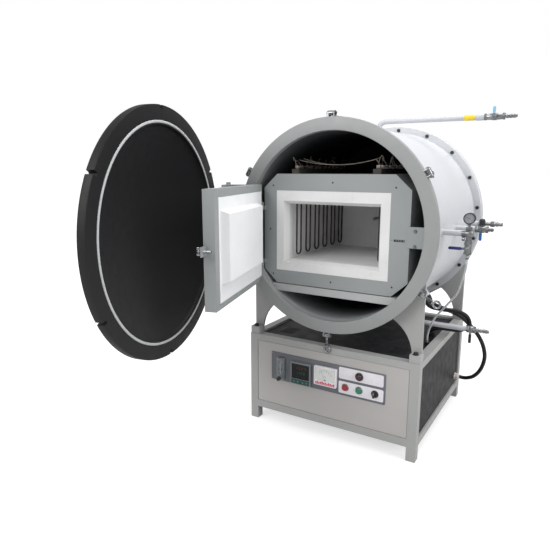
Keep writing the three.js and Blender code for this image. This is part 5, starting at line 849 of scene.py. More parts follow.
plateSize = {"x": (-262, 245), "y": (16.2, 18.7), "z": (204, 327), "corner": 4.0, "white": (15.6, 16.3),
             "whites": (((52, 237), (273.5, 321.5)), ((52, 238), (213, 263))), "screwX": (-257, 240),
             "screwZ": (209, 322)}
s = plateSize
(x0, x1), (y0, y1), (z0, z1) = s["x"], s["y"], s["z"]
settle(slab("controlPlate", (x0, y0, z0), (x1, y1, z1), 0.5, s["corner"]), standPlace, "fascia",
       ["control_fascia"])
low, high = s["white"]
for (x0, x1), (z0, z1) in s["whites"]:
    settle(slab("barePlate", (x0, low, z0), (x1, high, z1), 0.12, 6.0), standPlace, "white")
for x in s["screwX"]:
    for z in s["screwZ"]:
        screw = oneOf("plateScrew", [
            lathed("screwHead", [(0, 3.0), (0.8, 3.0), (1.5, 2.3), (1.8, 1.2), (1.8, 0.5)], 20),
            placed(slab("screwSlot", (-2.0, -0.3, 1.6), (2.0, 0.3, 1.9), 0), turnedBy(x + z, "Z"))])
        fitted(screw, facing(x, y0 + 0.05, z))
buttonSize = {"stop": (81, "red"), "start": (139, "green"), "selector": 204, "z": 240.0, "bezel": 15.0, "inner": 12.2,
              "plate": 15.9, "cap": 12.5}
s = buttonSize
inner, outer = s["inner"], s["bezel"]
bezel = ringed("bezel", [
    (0, inner), (0, outer), (1.2, outer), (3.2, outer - 1.2), (4.0, outer - 2.2), (3.6, inner + 0.1)], 48, 40)
cap = lathed("buttonCap", [
    (0, 10.6), (0, 11.5), (6.2, 11.55), (7.6, 11.0), (8.3, 9.8), (8.55, 8.6), (8.2, 7.4), (8.0, 5.0), (7.9, 1.0)], 48,
             40)
for name in ("stop", "start"):
    fitted(twin(bezel, name="buttonBezel"), facing(s[name][0], s["plate"], s["z"]))
settle(twin(bezel, name="buttonBezel"), facing(s["selector"], s["plate"], s["z"]), "black")
for name in ("stop", "start"):
    x, look = s[name]
    settle(twin(cap, name=name + "Cap"), facing(x, s["cap"], s["z"]), look, [name + "_button"],
           body=name + "_cap")
dropped(bezel, cap)
selectorSize = {"spot": (204.0, 15.5, 240.0), "base": 11.4, "bar": 4.0, "reach": 11.1}
s = selectorSize
base, half, reach = s["base"], s["bar"], s["reach"]
grip = oneOf("selectorKnob", [
    lathed("selectorBase", [(0, base - 0.4), (0.5, base), (8.2, base - 0.4), (9.2, base - 1.4), (9.2, 2.0)], 48, 40),
    slab("selectorBar", (-half, -reach, 7.0), (half, reach, 19.2), 1.2, 3.2, 2, 3)])
settle(grip, facing(*s["spot"]), "black", ["selector_switch"], body="selector_body")
settle(slab("selectorLine", (-0.9, 3.0, 18.9), (0.9, 10.4, 19.35), 0.1), facing(*s["spot"]), "white",
       body="selector_body")
print("buttons and selector made")


# words and numbers on a dial, laid on a face that looks along minus Y
def written(text, size, x, y, z, look="ink", turn=0.0, place=standPlace):
    bpy.ops.object.select_all(action="DESELECT")
    bpy.ops.object.text_add(location=(0, 0, 0))
    note = bpy.context.object
    note.data.body = text
    note.data.size = size
    note.data.align_x = "CENTER"
    note.data.align_y = "CENTER"
    note.data.extrude = 0.06
    note.data.resolution_u = 2
    bpy.ops.object.convert(target="MESH")
    note = bpy.context.object
    note.name = "dialMark"
    settle(note, place @ moved(x, y, z) @ alongMinusY @ turnedBy(turn, "Z"), look)


# a number of seven bars
def barDigit(figure, x, y, z, tall, look):
    shown = {"0": "abcdef", "1": "bc", "2": "abged", "4": "fgbc"}[figure]
    half, wide, bar = tall / 2, tall * 0.5, tall * 0.12
    flat, upright = (wide * 0.78, bar), (bar, half * 0.8)
    spots = {"a": (0, half, flat), "g": (0, 0, flat), "d": (0, -half, flat), "b": (wide / 2, half / 2, upright),
             "c": (wide / 2, -half / 2, upright), "f": (-wide / 2, half / 2, upright),
             "e": (-wide / 2, -half / 2, upright)}
    bars = []
    for key in shown:
        dx, dz, (w, h) = spots[key]
        low, high = (x + dx - w / 2, y - 0.1, z + dz - h / 2), (x + dx + w / 2, y + 0.1, z + dz + h / 2)
        bars.append(slab("digitBar", low, high, bar * 0.25, segments=1))
    settle(oneOf("digit", bars), standPlace, look)


# an instrument's case with a window sunk into its face
def cased(name, s, soft, corner, segments, floor, wellCorner):
    (x0, x1), (z0, z1), ((a0, a1), (b0, b1)) = s["x"], s["z"], s["window"]
    case = slab(name, (x0, s["face"], z0), (x1, s["back"], z1), soft, corner, segments=segments)
    return bored(case, slab("well", (a0, s["face"] - 3, b0), (a1, floor, b1), 0, wellCorner))


# a plate that fills such a window but for a narrow gap
def pane(name, window, gap, front, back, soft, corner):
    (a0, a1), (b0, b1) = window
    return slab(name, (a0 + gap, front, b0 + gap), (a1 - gap, back, b1 - gap), soft, corner)


controllerSize = {
    "x": (-166, -70), "z": (208, 304), "face": 6.9, "back": 15.9, "window": ((-159, -77), (232, 297)), "depth": 8.9,
    "strip": ((-160, -76), (211, 230)), "keyZ": 220.0, "key": 4.5,
    "keys": {-147: [(-2.4, 2.4, 0)], -129: [(-2.2, 2.2, 0), (-1.2, 1.2, 1.2)],
             -107: [(-1.2, 1.2, -1.2), (-2.2, 2.2, 0)], -89: [(-0.5, 2.2, 0), (-2.2, -1.2, 0)]},
    "figures": (("1024", -138, 13.5, 280, 14, "redGlow"), ("1100", -134.5, 11, 259, 10.5, "greenGlow")),
    "lights": (-150, 12.8, 241), "lit": (False, True, False, False, True, False)}
s = controllerSize
face, depth = s["face"], s["depth"]
settle(cased("controllerFrame", s, 0.9, 3.0, 2, depth + 0.6, 1.5), standPlace, "greyPlastic",
       ["temperature_controller"])
settle(pane("controllerScreen", s["window"], 0.1, depth, depth + 1.0, 0.1, 1.2), standPlace, "screen")
settle(pane("controllerStrip", s["strip"], 0, face - 0.15, face + 0.4, 0.12, 2.0), standPlace, "teal")
for x, marks in s["keys"].items():
    half, z = s["key"], s["keyZ"]
    key = slab("controllerKey", (x - half, face - 0.75, z - half + 0.5), (x + half, face, z + half - 0.5), 0.35, 1.6)
    settle(key, standPlace, "tealKey")
    for low, high, rise in marks:
        mark = slab("keyMark", (x + low, face - 0.85, z + rise - 0.35), (x + high, face - 0.7, z + rise + 0.35), 0.05)
        settle(mark, standPlace, "paleInk")
for text, x, step, z, tall, look in s["figures"]:
    for i, figure in enumerate(text):
        barDigit(figure, x + step * i, depth - 0.05, z, tall, look)
x, step, z = s["lights"]
for i, lit in enumerate(s["lit"]):
    settle(lathed("controllerLight", [(0, 1.1), (0.35, 1.1), (0.5, 0.6)], 14), facing(x + step * i, depth, z),
           "redGlow" if lit else "darkLamp")
print("temperature controller made")

ammeterSize = {
    "x": (-54, 46), "z": (229, 309), "face": 3.9, "back": 15.9, "window": ((-49, 41), (251, 304)), "depth": 5.4,
    "pivot": (-4.0, 256.0), "scale": 38.0, "spread": 48.0, "reading": 21.0,
    "numbers": ("0", "20", "40", "60", "80", "100"), "band": (237.0, 7.2, 5.8),
    "bars": (6, 9, 5, 8, 11, 7, 9, 6, 10, 8, 6, 9), "line": (233.6, 235.8)}
s = ammeterSize
(x0, x1), (px, pz), face, depth, scale, spread = s["x"], s["pivot"], s["face"], s["depth"], s["scale"], s["spread"]
settle(cased("ammeterCase", s, 1.2, 4.0, 3, depth + 0.9, 2.5), standPlace, "white", ["ammeter"])
settle(pane("ammeterDial", s["window"], 0.1, depth + 0.5, depth + 1.4, 0.1, 2.2), standPlace, "dial")
ticks = []
for i in range(26):
    tall = 5.0 if i % 5 == 0 else 2.6
    tick = slab("dialTick", (-0.22, -0.1, scale), (0.22, 0.1, scale + tall), 0)
    ticks.append(placed(tick, turnedBy(-(spread - 2 * spread * i / 25), "Y")))
for i in range(24):
    arc = slab("dialArc", (-1.5, -0.08, scale - 0.3), (1.5, 0.08, scale), 0)
    ticks.append(placed(arc, turnedBy(-(spread - 2 * spread * (i + 0.5) / 24), "Y")))
settle(oneOf("ammeterScale", ticks), onStand(px, depth + 0.45, pz), "ink")
for i, number in enumerate(s["numbers"]):
    turn, reach = math.radians(spread - 2 * spread * i / 5), scale - 5.2
    written(number, 4.6, px - reach * math.sin(turn), depth + 0.4, pz + reach * math.cos(turn), turn=math.degrees(turn))
written("A", 8.0, px, depth + 0.4, pz + 14)
needle = oneOf("ammeterNeedle", [
    placed(slab("needleArm", (-0.3, -0.2, 0), (0.3, 0.2, scale + 1), 0.1), turnedBy(-spread + s["reading"], "Y")),
    placed(lathed("needleHub", [(0, 3.6), (0.5, 3.6), (0.8, 3.0), (0.8, 1.0)], 24), alongMinusY)])
settle(needle, onStand(px, depth + 0.1, pz - 3.4), "ink")
settle(pane("ammeterCover", s["window"], 0.3, face + 0.1, face + 0.6, 0.15, 2.2), standPlace, "glass")
foot, pitch, wide = s["band"]
bars = []
for i, tall in enumerate(s["bars"]):
    low = x0 + 7.4 + pitch * i
    bars.append(slab("redStep", (low, face - 0.08, foot), (low + wide, face + 0.1, foot + tall * 0.95), 0))
low, high = s["line"]
bars.append(slab("redLine", (x0 + 6, face - 0.08, low), (x1 - 6, face + 0.1, high), 0))
settle(oneOf("ammeterRedBand", bars), standPlace, "redInk")
print("ammeter made")

alarmSize = {"spot": (139.0, 15.9, 297.0), "rim": 16.0, "hole": 11.4, "slots": (-2.6, 0.0, 2.6)}
s = alarmSize
rim, hole = s["rim"], s["hole"]
alarm = ringed("alarmRing", [
    (0, hole), (0, rim), (5.4, rim), (7.2, rim - 0.8), (8.0, rim - 2.2), (7.4, hole + 0.2)], 48, 40)
settle(alarm, facing(*s["spot"]), "black", ["alarm_buzzer"])
lens = lathed("alarmLens", [(0, 11.3), (7.0, 11.3), (9.4, 10.4), (11.4, 8.2), (12.5, 5.0), (12.9, 1.0)], 40, 60)
settle(lens, facing(*s["spot"]), "maroon")
slots = [slab("alarmSlot", (-5.5, y - 0.5, 11.2), (5.5, y + 0.5, 12.6), 0.2) for y in s["slots"]]
settle(oneOf("alarmSlots", slots), facing(*s["spot"]), "ink")

flowSize = {"x": (-227, -195), "z": (212, 310), "face": -4.1, "middle": 12.4, "back": 15.9,
            "tube": (-211.0, 4.2, 238.0), "tubeTop": 294.0, "float": 17.0, "marks": 21, "knob": (-211, -4.7, 222),
            "flutes": 12}
s = flowSize
(x0, x1), (z0, z1), (cx, cy, low), high, face = s["x"], s["z"], s["tube"], s["tubeTop"], s["face"]
settle(slab("flowBack", (x0 - 0.4, s["middle"], z0), (x1 + 0.4, s["back"], z1), 0.5, 2.0), standPlace, "darkPlate")
body = slab("flowBody", (x0, face, z0 + 1), (x1, s["middle"] - 0.1, z1 - 1), 1.0, 3.0, 1, 3)
tube = placed(lathed("flowBore", [(low, 3.6), (high, 5.4)], 24), moved(cx, cy, 0))
settle(bored(body, tube), standPlace, "acrylic", ["flowmeter_body"])
fitted(lathed("flowFloat", [(0, 1.0), (1.0, 3.0), (4.6, 3.6), (5.4, 3.6), (5.8, 2.4), (5.8, 0.6)], 24),
       onStand(cx, cy, low + s["float"]))
marks = []
for i in range(s["marks"]):
    wide = 5.0 if i % 5 == 0 else 2.6
    left, foot = cx + 6.4, low + 3 + 2.4 * i
    marks.append(slab("flowMark", (left, face - 0.06, foot), (left + wide, face + 0.1, foot + 0.4), 0))
settle(oneOf("flowScale", marks), standPlace, "ink")
for i in range(5):
    written(str(2 * i + 2), 3.2, cx - 9.6, face - 0.03, low + 3.2 + 12 * i)
for z in (z1 - 6.5, z0 + 23.5):
    fitted(flatted("flowFitting", 8.0, 1.6, 1.0), facing(cx, face + 0.2, z))
knob = lathed("flowKnob", [(0, 5.0), (1.5, 8.0), (2.4, 8.7), (12.8, 8.2), (14.2, 7.2), (14.6, 5.6), (13.8, 4.6),
                           (13.8, 0.8)], 48, 30)
turns = [360 / s["flutes"] * i for i in range(s["flutes"])]
flutes = [placed(lathed("flute", [(1.0, 1.2), (16.0, 1.2)], 10), turnedBy(turn, "Z") @ moved(9.2, 0, 0))
          for turn in turns]
settle(bored(knob, oneOf("flutes", flutes)), facing(*s["knob"]), "black", ["flowmeter_knob"],
       body="flow_knob_body")
print("alarm and flowmeter made")


# pipework: welded stubs, ball valves, levers, barbs, a dial gauge and knobs
def cornered(points, bend, steps=10):
    points = [Vector(p) for p in points]
    line = [points[0]]
    for before, corner, after in zip(points, points[1:], points[2:]):
        into, out = (corner - before).normalized(), (after - corner).normalized()
        centre = corner - into * bend + out * bend
        for k in range(steps + 1):
            turn = math.pi / 2 * k / steps
            line.append(centre - out * bend * math.cos(turn) + into * bend * math.sin(turn))
    return line + [points[-1]]


def tubePiece(name, line, radius, sides=6):
    alone(layLine(name, line, radius, looks["steel"], sides))
    bpy.ops.object.convert(target="MESH")
    piece = bpy.context.object
    bpy.ops.object.mode_set(mode="EDIT")
    bpy.ops.mesh.select_all(action="SELECT")
    bpy.ops.mesh.remove_doubles(threshold=0.001)
    bpy.ops.mesh.normals_make_consistent(inside=False)
    backToObject()
    return smoothed(piece, 50)


def barbed(length, radius, ridges=3):
    step = length * 0.8 / ridges
    steps = [(0, radius * 0.8), (length * 0.08, radius * 0.74)]
    for i in range(ridges):
        low = length * 0.14 + step * i
        steps += [(low, radius * 0.74), (low + 0.6, radius * 0.98), (low + 1.4, radius),
                  (low + step - 0.4, radius * 0.76)]
    steps += [(length - 0.8, radius * 0.7), (length, radius * 0.62), (length, radius * 0.44),
              (length - 6, radius * 0.42)]
    return lathed("barb", steps, 28, 30)


def ballValve(length, ballRadius=14.0):
    middle = length / 2
    toStem = moved(0, 0, middle) @ alongMinusY
    return oneOf("ballValve", [
        flatted("valveEnd", 29.0, 9.0, 8.0),
        placed(flatted("valveFar", 29.0, 9.0, 8.0), moved(0, 0, length) @ upsideDown),
        lathed("valveBall", [(6, 8.0), (8.5, 11.5), (middle - 9, 12.6), (middle - 7, ballRadius),
                             (middle + 7, ballRadius), (middle + 9, 12.6), (length - 8.5, 11.5), (length - 6, 8.0)],
               32),
        placed(lathed("valveNeck", [(0, 7.6), (14.6, 7.4), (16.2, 6.4), (19.0, 6.2), (19.0, 2.0)], 24), toStem),
        placed(lathed("valveStem", [(18.0, 3.0), (24.6, 2.8), (24.9, 2.2), (24.9, 0.6)], 16), toStem)])


# a lever on the valve's stem, turned about it, with a plastic sleeve
def valveHandle(kind, s, turn, look):
    hub = oneOf(kind + "LeverHub", [
        placed(lathed("handleHub", [(19.3, 3.2), (19.3, 8.0), (19.8, 8.5), (21.8, 8.5), (22.3, 8.0), (22.3, 3.2)], 32),
               alongMinusY),
        placed(flatted("handleNut", 9.6, 2.3, 3.0), moved(0, -22.2, 0) @ alongMinusY),
        slab("handleArm", (4, -22.1, -4.4), (s["lever"] * 0.5, -19.5, 4.4), 0.5)])
    spot = onVessel(*s["stem"]) @ turnedBy(-turn, "Y")
    settle(hub, spot, "steel", [kind + "_valve_lever"], body=kind + "_lever")
    sleeve = slab(kind + "LeverSleeve", (s["lever"] * 0.26, -23.0, -5.5), (s["lever"], -18.9, 5.5), 1.2, 4.6, 1, 3)
    settle(sleeve, spot, look, body=kind + "_lever")


pipeSize = {"radius": 10.7, "from": 370.0, "weld": 386.0}
r = pipeSize["radius"]


def weldBead(place):
    bead = lathed("weldBead", [(0, r + 4.2), (1.6, r + 3.6), (3.6, r + 1.6), (4.6, r - 0.2), (4.8, r - 2)], 40, 60)
    settle(bead, place @ moved(0, 0, pipeSize["weld"]), "pipePaint")


# a pipe that leaves the shell straight to the right
def stub(name, s, end, node):
    place = onVessel(0, s["y"], s["z"]) @ alongX
    settle(lathed(name, [(pipeSize["from"], r), (end, r)], 36), place, "pipePaint", [node])
    weldBead(place)


# a pipe that leaves the shell upright and bends to the right
def bentPipe(name, s, node):
    points = [(s["x"], s["y"], s["from"]), (s["x"], s["y"], s["z"]), (s["valve"][0] + 2, s["y"], s["z"])]
    settle(tubePiece(name, cornered(points, s["bend"]), r, 8), vesselPlace, "pipePaint", [node])


def valveWithBarb(s):
    low, high = s["valve"]
    end, radius, ridges = s["barb"]
    fitted(ballValve(high - low), onVessel(low, s["y"], s["z"]) @ alongX)
    fitted(barbed(end - high, radius, ridges), onVessel(high - 0.2, s["y"], s["z"]) @ alongX)


ventSize = {"x": 0.0, "y": 492.0, "from": 380.0, "z": 425.0, "bend": 34.0, "valve": (440.0, 516.0),
            "barb": (560.0, 9.0, 3), "stem": (478.0, 492.0, 425.0), "lever": 38.0,
            "bands": {"yellowBand": (363.0, 404.0, 0.5, 0.75, 0.4, "yellow"),
                      "ventSleeve": (409.0, 440.0, 1.6, 2.2, 1.0, "pipePaint")}}
s = ventSize
bentPipe("ventPipe", s, "vent_pipe")
weldBead(onVessel(0, s["y"], 0))
valveWithBarb(s)
for name, (low, high, shoulder, proud, ease, look) in s["bands"].items():
    band = ringed(name, [(low, r - 0.5), (low, r + shoulder), (low + ease, r + proud), (high - ease, r + proud),
                         (high, r + shoulder), (high, r - 0.5)], 40)
    settle(band, onVessel(0, s["y"], s["z"]) @ alongX, look)
valveHandle("vent", s, 90, "paleBlue")
print("vent pipe made")

manifoldSize = {"x": 480.0, "y": 144.0, "z": -2.0, "valve": (-76.0, -32.0), "stem": (480.0, 144.0, -54.0),
                "lever": 63.0, "gauge": 52.0, "face": -14.0, "back": 10.0, "figures": 8.6}
s = manifoldSize
x, y = s["x"], s["y"]
stub("manifoldPipe", s, x - 12, "gas_manifold")
tee = oneOf("manifoldTee", [
    placed(lathed("teeRun", [(x - 24, 11.0), (x - 23, 12.6), (x - 12, 12.6), (x - 10, 13.2), (x + 10, 13.2),
                             (x + 12, 12.4), (x + 13.8, 11.0), (x + 13.8, 3.0)], 32), alongX),
    placed(lathed("teeRise", [(-28, 8.6), (-12, 9.0), (-11, 11.4), (11, 11.4), (12, 9.0), (24, 8.6)], 32),
           moved(x, 0, 0)),
    placed(flatted("riseNut", 24.0, 8.0, 6.0), moved(x, 0, 15)),
    placed(flatted("fallNut", 24.0, 8.0, 6.0), moved(x, 0, -30.5)),
    placed(flatted("teeCap", 14.0, 9.0, 3.0, 8), moved(x - 13, 0, -20) @ alongMinusX)])
fitted(tee, onVessel(0, y, s["z"]))
low, high = s["valve"]
fitted(ballValve(high - low, 12.0), onVessel(x, y, low))
fitted(barbed(7.5, 5.6, 1), onVessel(x, y, low + 0.5) @ upsideDown)
valveHandle("manifold", s, 180, "navy")
gaugeSpot = onVessel(x, y + s["back"], s["gauge"]) @ alongMinusY
tall = s["back"] - s["face"]
case = ringed("gaugeCase", [(0, 3.0), (0, 18.0), (1.6, 19.6), (tall - 6, 19.6), (tall - 5.6, 20.0), (tall - 1, 20.0),
                            (tall, 19.2), (tall, 18.0), (tall - 2.6, 17.2), (tall - 4.4, 17.2), (tall - 4.4, 3.0)], 56)
settle(case, gaugeSpot, "darkSteel", ["pressure_gauge"])
settle(lathed("gaugeDial", [(tall - 4.6, 17.1), (tall - 4.0, 17.1), (tall - 4.0, 1.0)], 48), gaugeSpot, "gaugeCard")
marks = [placed(slab("gaugeMark", (-0.2, 12.4 if i % 4 else 11.0, tall - 4.1), (0.2, 14.8, tall - 3.9), 0),
                turnedBy(135 - 11.25 * i, "Z")) for i in range(25)]
settle(oneOf("gaugeMarks", marks), gaugeSpot, "ink")
for i, number in enumerate(("-1", "0", "1", "2", "3")):
    turn, reach = math.radians(135 - 67.5 * i), s["figures"]
    written(number, 3.6, x - reach * math.sin(turn), y + s["face"] + 3.95, s["gauge"] + reach * math.cos(turn),
            place=vesselPlace)
needle = oneOf("gaugeNeedle", [
    placed(slab("gaugeArm", (-0.45, -4, tall - 3.6), (0.45, 12.4, tall - 3.2), 0.1), turnedBy(67.5, "Z")),
    lathed("gaugeHub", [(tall - 3.9, 2.0), (tall - 2.8, 2.0), (tall - 2.5, 1.4), (tall - 2.5, 0.4)], 20)])
settle(needle, gaugeSpot, "ink")
glass = lathed("gaugeGlass", [(tall - 2.2, 17.4), (tall - 1.4, 17.4), (tall - 1.3, 16.8), (tall - 1.3, 1.0)], 48)
settle(glass, gaugeSpot, "glass")
neck = oneOf("gaugeNeck", [
    lathed("neck", [(22, 4.4), (33.5, 4.4)], 20), placed(flatted("neckNut", 13.0, 6.0, 3.0), moved(0, 0, 25))])
fitted(neck, onVessel(x, y, 0))
print("manifold and gauge made")

exhaustSize = {"y": 353.0, "z": -7.0, "valve": (463.0, 510.0), "barb": (530.0, 8.0, 2), "stem": (486.5, 353.0, -7.0),
               "lever": 42.0, "knob": (8.6, 34.6), "neck": 1.0}
s = exhaustSize
stub("exhaustPipe", s, s["valve"][0] + 2, "exhaust_pipe")
valveWithBarb(s)
valveHandle("exhaust", s, -90, "blue")
low, high = s["knob"]
knob = lathed("reliefKnob", [(low, 6.0), (low + 1.5, 9.4), (low + 3, 10.8), (high - 6, 10.4), (high - 2.4, 9.4),
                             (high - 0.6, 7.0), (high, 3.0), (high, 0.6)], 60, 30)
flutes = [placed(lathed("groove", [(low + 2, 1.5), (high - 4, 1.5)], 12), turnedBy(36 * i, "Z") @ moved(11.6, 0, 0))
          for i in range(10)]
settle(bored(knob, oneOf("grooves", flutes)), onVessel(s["stem"][0], s["y"], 0), "black",
       ["relief_knob"], body="relief_knob_body")
fitted(flatted("reliefNeck", 13.0, 9.5, 3.0), onVessel(s["stem"][0], s["y"], s["neck"]))

sideSize = {"y": 574.0, "z": -6.0, "union": (436.0, 462.0), "tail": 530.0, "nut": (483.0, 500.0),
            "ring": (505.0, 511.0)}
s = sideSize
low, high = s["union"]
stub("sidePipe", s, low + 2, "rear_side_pipe")
fitted(oneOf("sideFittings", [
    placed(flatted("unionNut", 30.0, high - low - 8, 8.0), moved(0, 0, low)),
    lathed("unionEnd", [(high - 9, 12.4), (high - 2, 12.4), (high, 10.6), (high, 6)], 32),
    lathed("sideTail", [(high - 4, 8.0), (s["tail"] - 1, 8.0), (s["tail"], 7.0), (s["tail"], 5.2),
                        (s["tail"] - 8, 5.2)], 32),
    placed(flatted("sideNut", 26.0, s["nut"][1] - s["nut"][0], 6.0), moved(0, 0, s["nut"][0])),
    lathed("sideRing", [(s["ring"][0], 7.5), (s["ring"][0], 10.0), (s["ring"][1], 10.0), (s["ring"][1], 7.5)], 32)]),
       onVessel(0, s["y"], s["z"]) @ alongX)

vacuumSize = {"x": 190.0, "y": 369.0, "from": -330.0, "z": -417.0, "bend": 30.0, "valve": (457.0, 491.0),
              "barb": (542.0, 9.0, 4), "stem": (474.0, 369.0, -417.0), "lever": 52.0}
s = vacuumSize
bentPipe("vacuumPipe", s, "vacuum_pipe")
valveWithBarb(s)
valveHandle("vacuum", s, -90, "black")
print("side pipes made")

# inner box: hairpin rows with clamps, links and leads, screws, latch slot and bracket screws
heaterSize = {"rows": {"left": (-180.0, -180.0), "right": (161.0, 171.5)}, "roofLow": 92.0, "step": 40.0, "first": 98.0,
              "pitch": 82.0, "count": 6, "leg": 18.0, "rod": 3.5, "low": -123.0, "top": 244.0, "bar": 222.3,
              "links": {80.0: 20.0, 116.0: 26.0}, "linkFrom": -172.0, "linkLong": 325.0}
s = heaterSize
random.seed(7)


# one hairpin: two legs that may step sideways inside the roof, and the bend below
def hairpin(roofX, x, y):
    leg, stepped, bend = s["leg"], s["roofLow"] + s["step"], s["low"] + s["leg"]
    turns = [math.pi * k / 12 for k in range(13)]
    line = [(roofX, y - leg, s["top"]), (roofX, y - leg, stepped), (x, y - leg, s["roofLow"])]
    line += [(x, y - leg * math.cos(turn), bend - leg * math.sin(turn)) for turn in turns]
    line += [(x, y + leg, s["roofLow"]), (roofX, y + leg, stepped), (roofX, y + leg, s["top"])]
    return tubePiece("hairpin", [Vector(p) for p in line], s["rod"], 3)


# a loose wire that rises from a clamp and falls over a little to one side
def leadWire(x, y, low):
    lean = Vector((random.uniform(-24, 24), random.uniform(-16, 16), random.uniform(24, 42)))
    foot = Vector((x + random.uniform(-5, 5), y, low))
    wire = [foot, foot + lean * 0.5 + Vector((random.uniform(-6, 6), 0, 8)), foot + lean,
            foot + lean + Vector((random.uniform(-14, 14), 10, -12))]
    return tubePiece("lead", smoothRoute(wire, 5), 1.5, 1)


for side, (roofX, insideX) in s["rows"].items():
    rods, clamps, leads = [], [], []
    bar = s["bar"]
    for i in range(s["count"]):
        y = s["first"] + s["pitch"] * i
        rods.append(hairpin(roofX, insideX, y))
        for end in (-1, 1):
            legY = y + end * s["leg"]
            clamps.append(slab("clamp", (roofX - 7.5, legY - 6, bar + 1), (roofX + 7.5, legY + 6, bar + 14), 1.2))
            clamps.append(placed(flatted("clampScrew", 7.0, 3.4), moved(roofX + 7.4, legY, bar + 8) @ alongX))
            if i < s["count"] - 1 and end == 1:
                nextY = legY + s["pitch"] - 2 * s["leg"]
                clamps.append(slab("braid", (roofX - 6, legY, bar + 9), (roofX + 6, nextY, bar + 12), 0.8))
            leads.append(leadWire(roofX, legY, bar + 10))
    settle(oneOf(side + "Heaters", rods), vesselPlace, "heater", [side + "_heating_elements"])
    settle(oneOf(side + "Clamps", clamps), vesselPlace, "clamp")
    settle(oneOf(side + "Leads", leads), vesselPlace, "lead")
links = []
for y, sag in s["links"].items():
    steps = [t / 16 for t in range(17)]
    line = [Vector((s["linkFrom"] + s["linkLong"] * t, y, s["bar"] + 16 + sag * (2 * t - 1) ** 2)) for t in steps]
    links.append(tubePiece("crossLead", line, 1.3, 1))
settle(oneOf("crossLeads", links), vesselPlace, "lead")
boxSize = {"face": 30.0, "screws": ((-262, 158), (246, 158), (0, 172), (-276, -18), (-262, -203), (246, -203),
                                    (0, -212)),
           "slot": ((246.2, 285.8), (-33.8, -26.2)), "bracket": ((324, 8), (324, -47)), "bracketFace": 25.7}
s = boxSize
screw = oneOf("boxScrew", [lathed("boxScrewHead", [(-0.8, 3.6), (0.1, 3.6), (0.4, 3.0), (0.55, 1.6), (0.55, 0.5)], 20),
                           slab("boxScrewSlot", (-2.4, -0.4, 0.2), (2.4, 0.4, 0.7), 0)])
for i, (x, z) in enumerate(s["screws"]):
    settle(twin(screw, turnedBy(40 * i, "Z"), "boxScrew"), onVessel(x, s["face"] + 0.1, z) @ alongMinusY, "darkSteel")
dropped(screw)
(x0, x1), (z0, z1) = s["slot"]
face = s["face"]
settle(slab("latchWell", (x0, face + 1.0, z0), (x1, face + 2.9, z1), 0.2), vesselPlace, "ink")
bits = [slab("latchBit", (x0 + 6 + 9 * i, face + 0.2, z0 + 1.6), (x0 + 11 + 9 * i, face + 1.6, z1 - 1.6), 0.5)
        for i in range(4)]
bits += [slab("latchMark", (x0 - 13, face - 0.2, -30.6), (x0 - 5, face + 0.4, -29.4), 0.1)]
fitted(oneOf("latchBits", bits), vesselPlace)
for x, z in s["bracket"]:
    head = oneOf("bracketScrew", [placed(flatted("bracketHead", 10.6, 4.2), moved(0, 0, 1.0)),
                                  washer("bracketWasher", 6.6, 1.2)])
    fitted(head, onVessel(x, s["bracketFace"] + 0.1, z) @ alongMinusY)
print("inner box fitted")

# inner door's wing screw, saddle bolts, cable fittings and hose clips
latchSize = {"u": 568.0, "z": -30.0, "rod": 5.0, "depth": 37.0, "wing": 13.8}
s = latchSize
wings = [placed(slab("wing", (-2.0, -s["wing"], 0), (2.0, -2, 13), 1.4, 4.6, 0, 3), turnedBy(turn, "Z"))
         for turn in (0, 180)]
wingScrew = oneOf("latchScrew", wings + [
    lathed("wingHub", [(0, 6.0), (0.6, 7.0), (9, 6.4), (12.6, 5.2), (13.4, 4.0), (13.4, 1.0)], 32),
    threaded("wingThread", s["rod"], -s["depth"], 1.0)])
settle(wingScrew, doorPlace @ moved(s["u"], -s["depth"], s["z"]) @ alongMinusY, "chrome",
       ["door_latch_screw"], body="latch_screw")
fittingSize = {"saddles": ((-348, 348), (32, 704), 422.2), "gland": (363.4, 656, 124),
               "boots": {"powerCable": 450, "elementCable": 400}, "clips": ((480, 144, 772), (322, 282, 398))}
s = fittingSize
sides, depths, footHeight = s["saddles"]
for x in sides:
    for y in depths:
        bolt = oneOf("saddleBolt", [placed(flatted("saddleHead", 17.6, 7.9), moved(0, 0, 1.6)),
                                    washer("saddleWasher", 11.4, 1.6)])
        settle(bolt, onStand(x, y, footHeight), "darkSteel")
gland = oneOf("glandBody", [
    flatted("glandNut", 34.0, 6.0, 9.0), placed(flatted("glandCap", 31.0, 10.0, 9.0, 12), moved(0, 0, 9)),
    lathed("glandNeck", [(2, 12.5), (10, 12.5), (19, 13.6), (22.6, 11.6), (23.8, 9.4), (23.8, 8.0), (20, 7.6)], 40)])
settle(gland, onStand(*s["gland"]) @ alongX, "gland", ["cable_gland"])
for route, depth in s["boots"].items():
    thick = routes[route]["radius"]
    boot = ringed("cableBoot", [(417.2, thick + 0.2), (417.2, 13.4), (419, 14.0), (426, 13.6), (436, thick + 2.4),
                                (441, thick + 1.6), (442, thick + 0.3)], 36, 40)
    settle(boot, vesselPlace @ turnedBy(vesselSize["seatTurn"], "Y") @ moved(0, depth, 0) @ alongX, "cable")
for place in s["clips"]:
    fitted(ringed("hoseClip", [(0, 4.1), (0, 5.4), (0.4, 5.7), (5.6, 5.7), (6, 5.4), (6, 4.1)], 28), onStand(*place))
print("small fittings made")

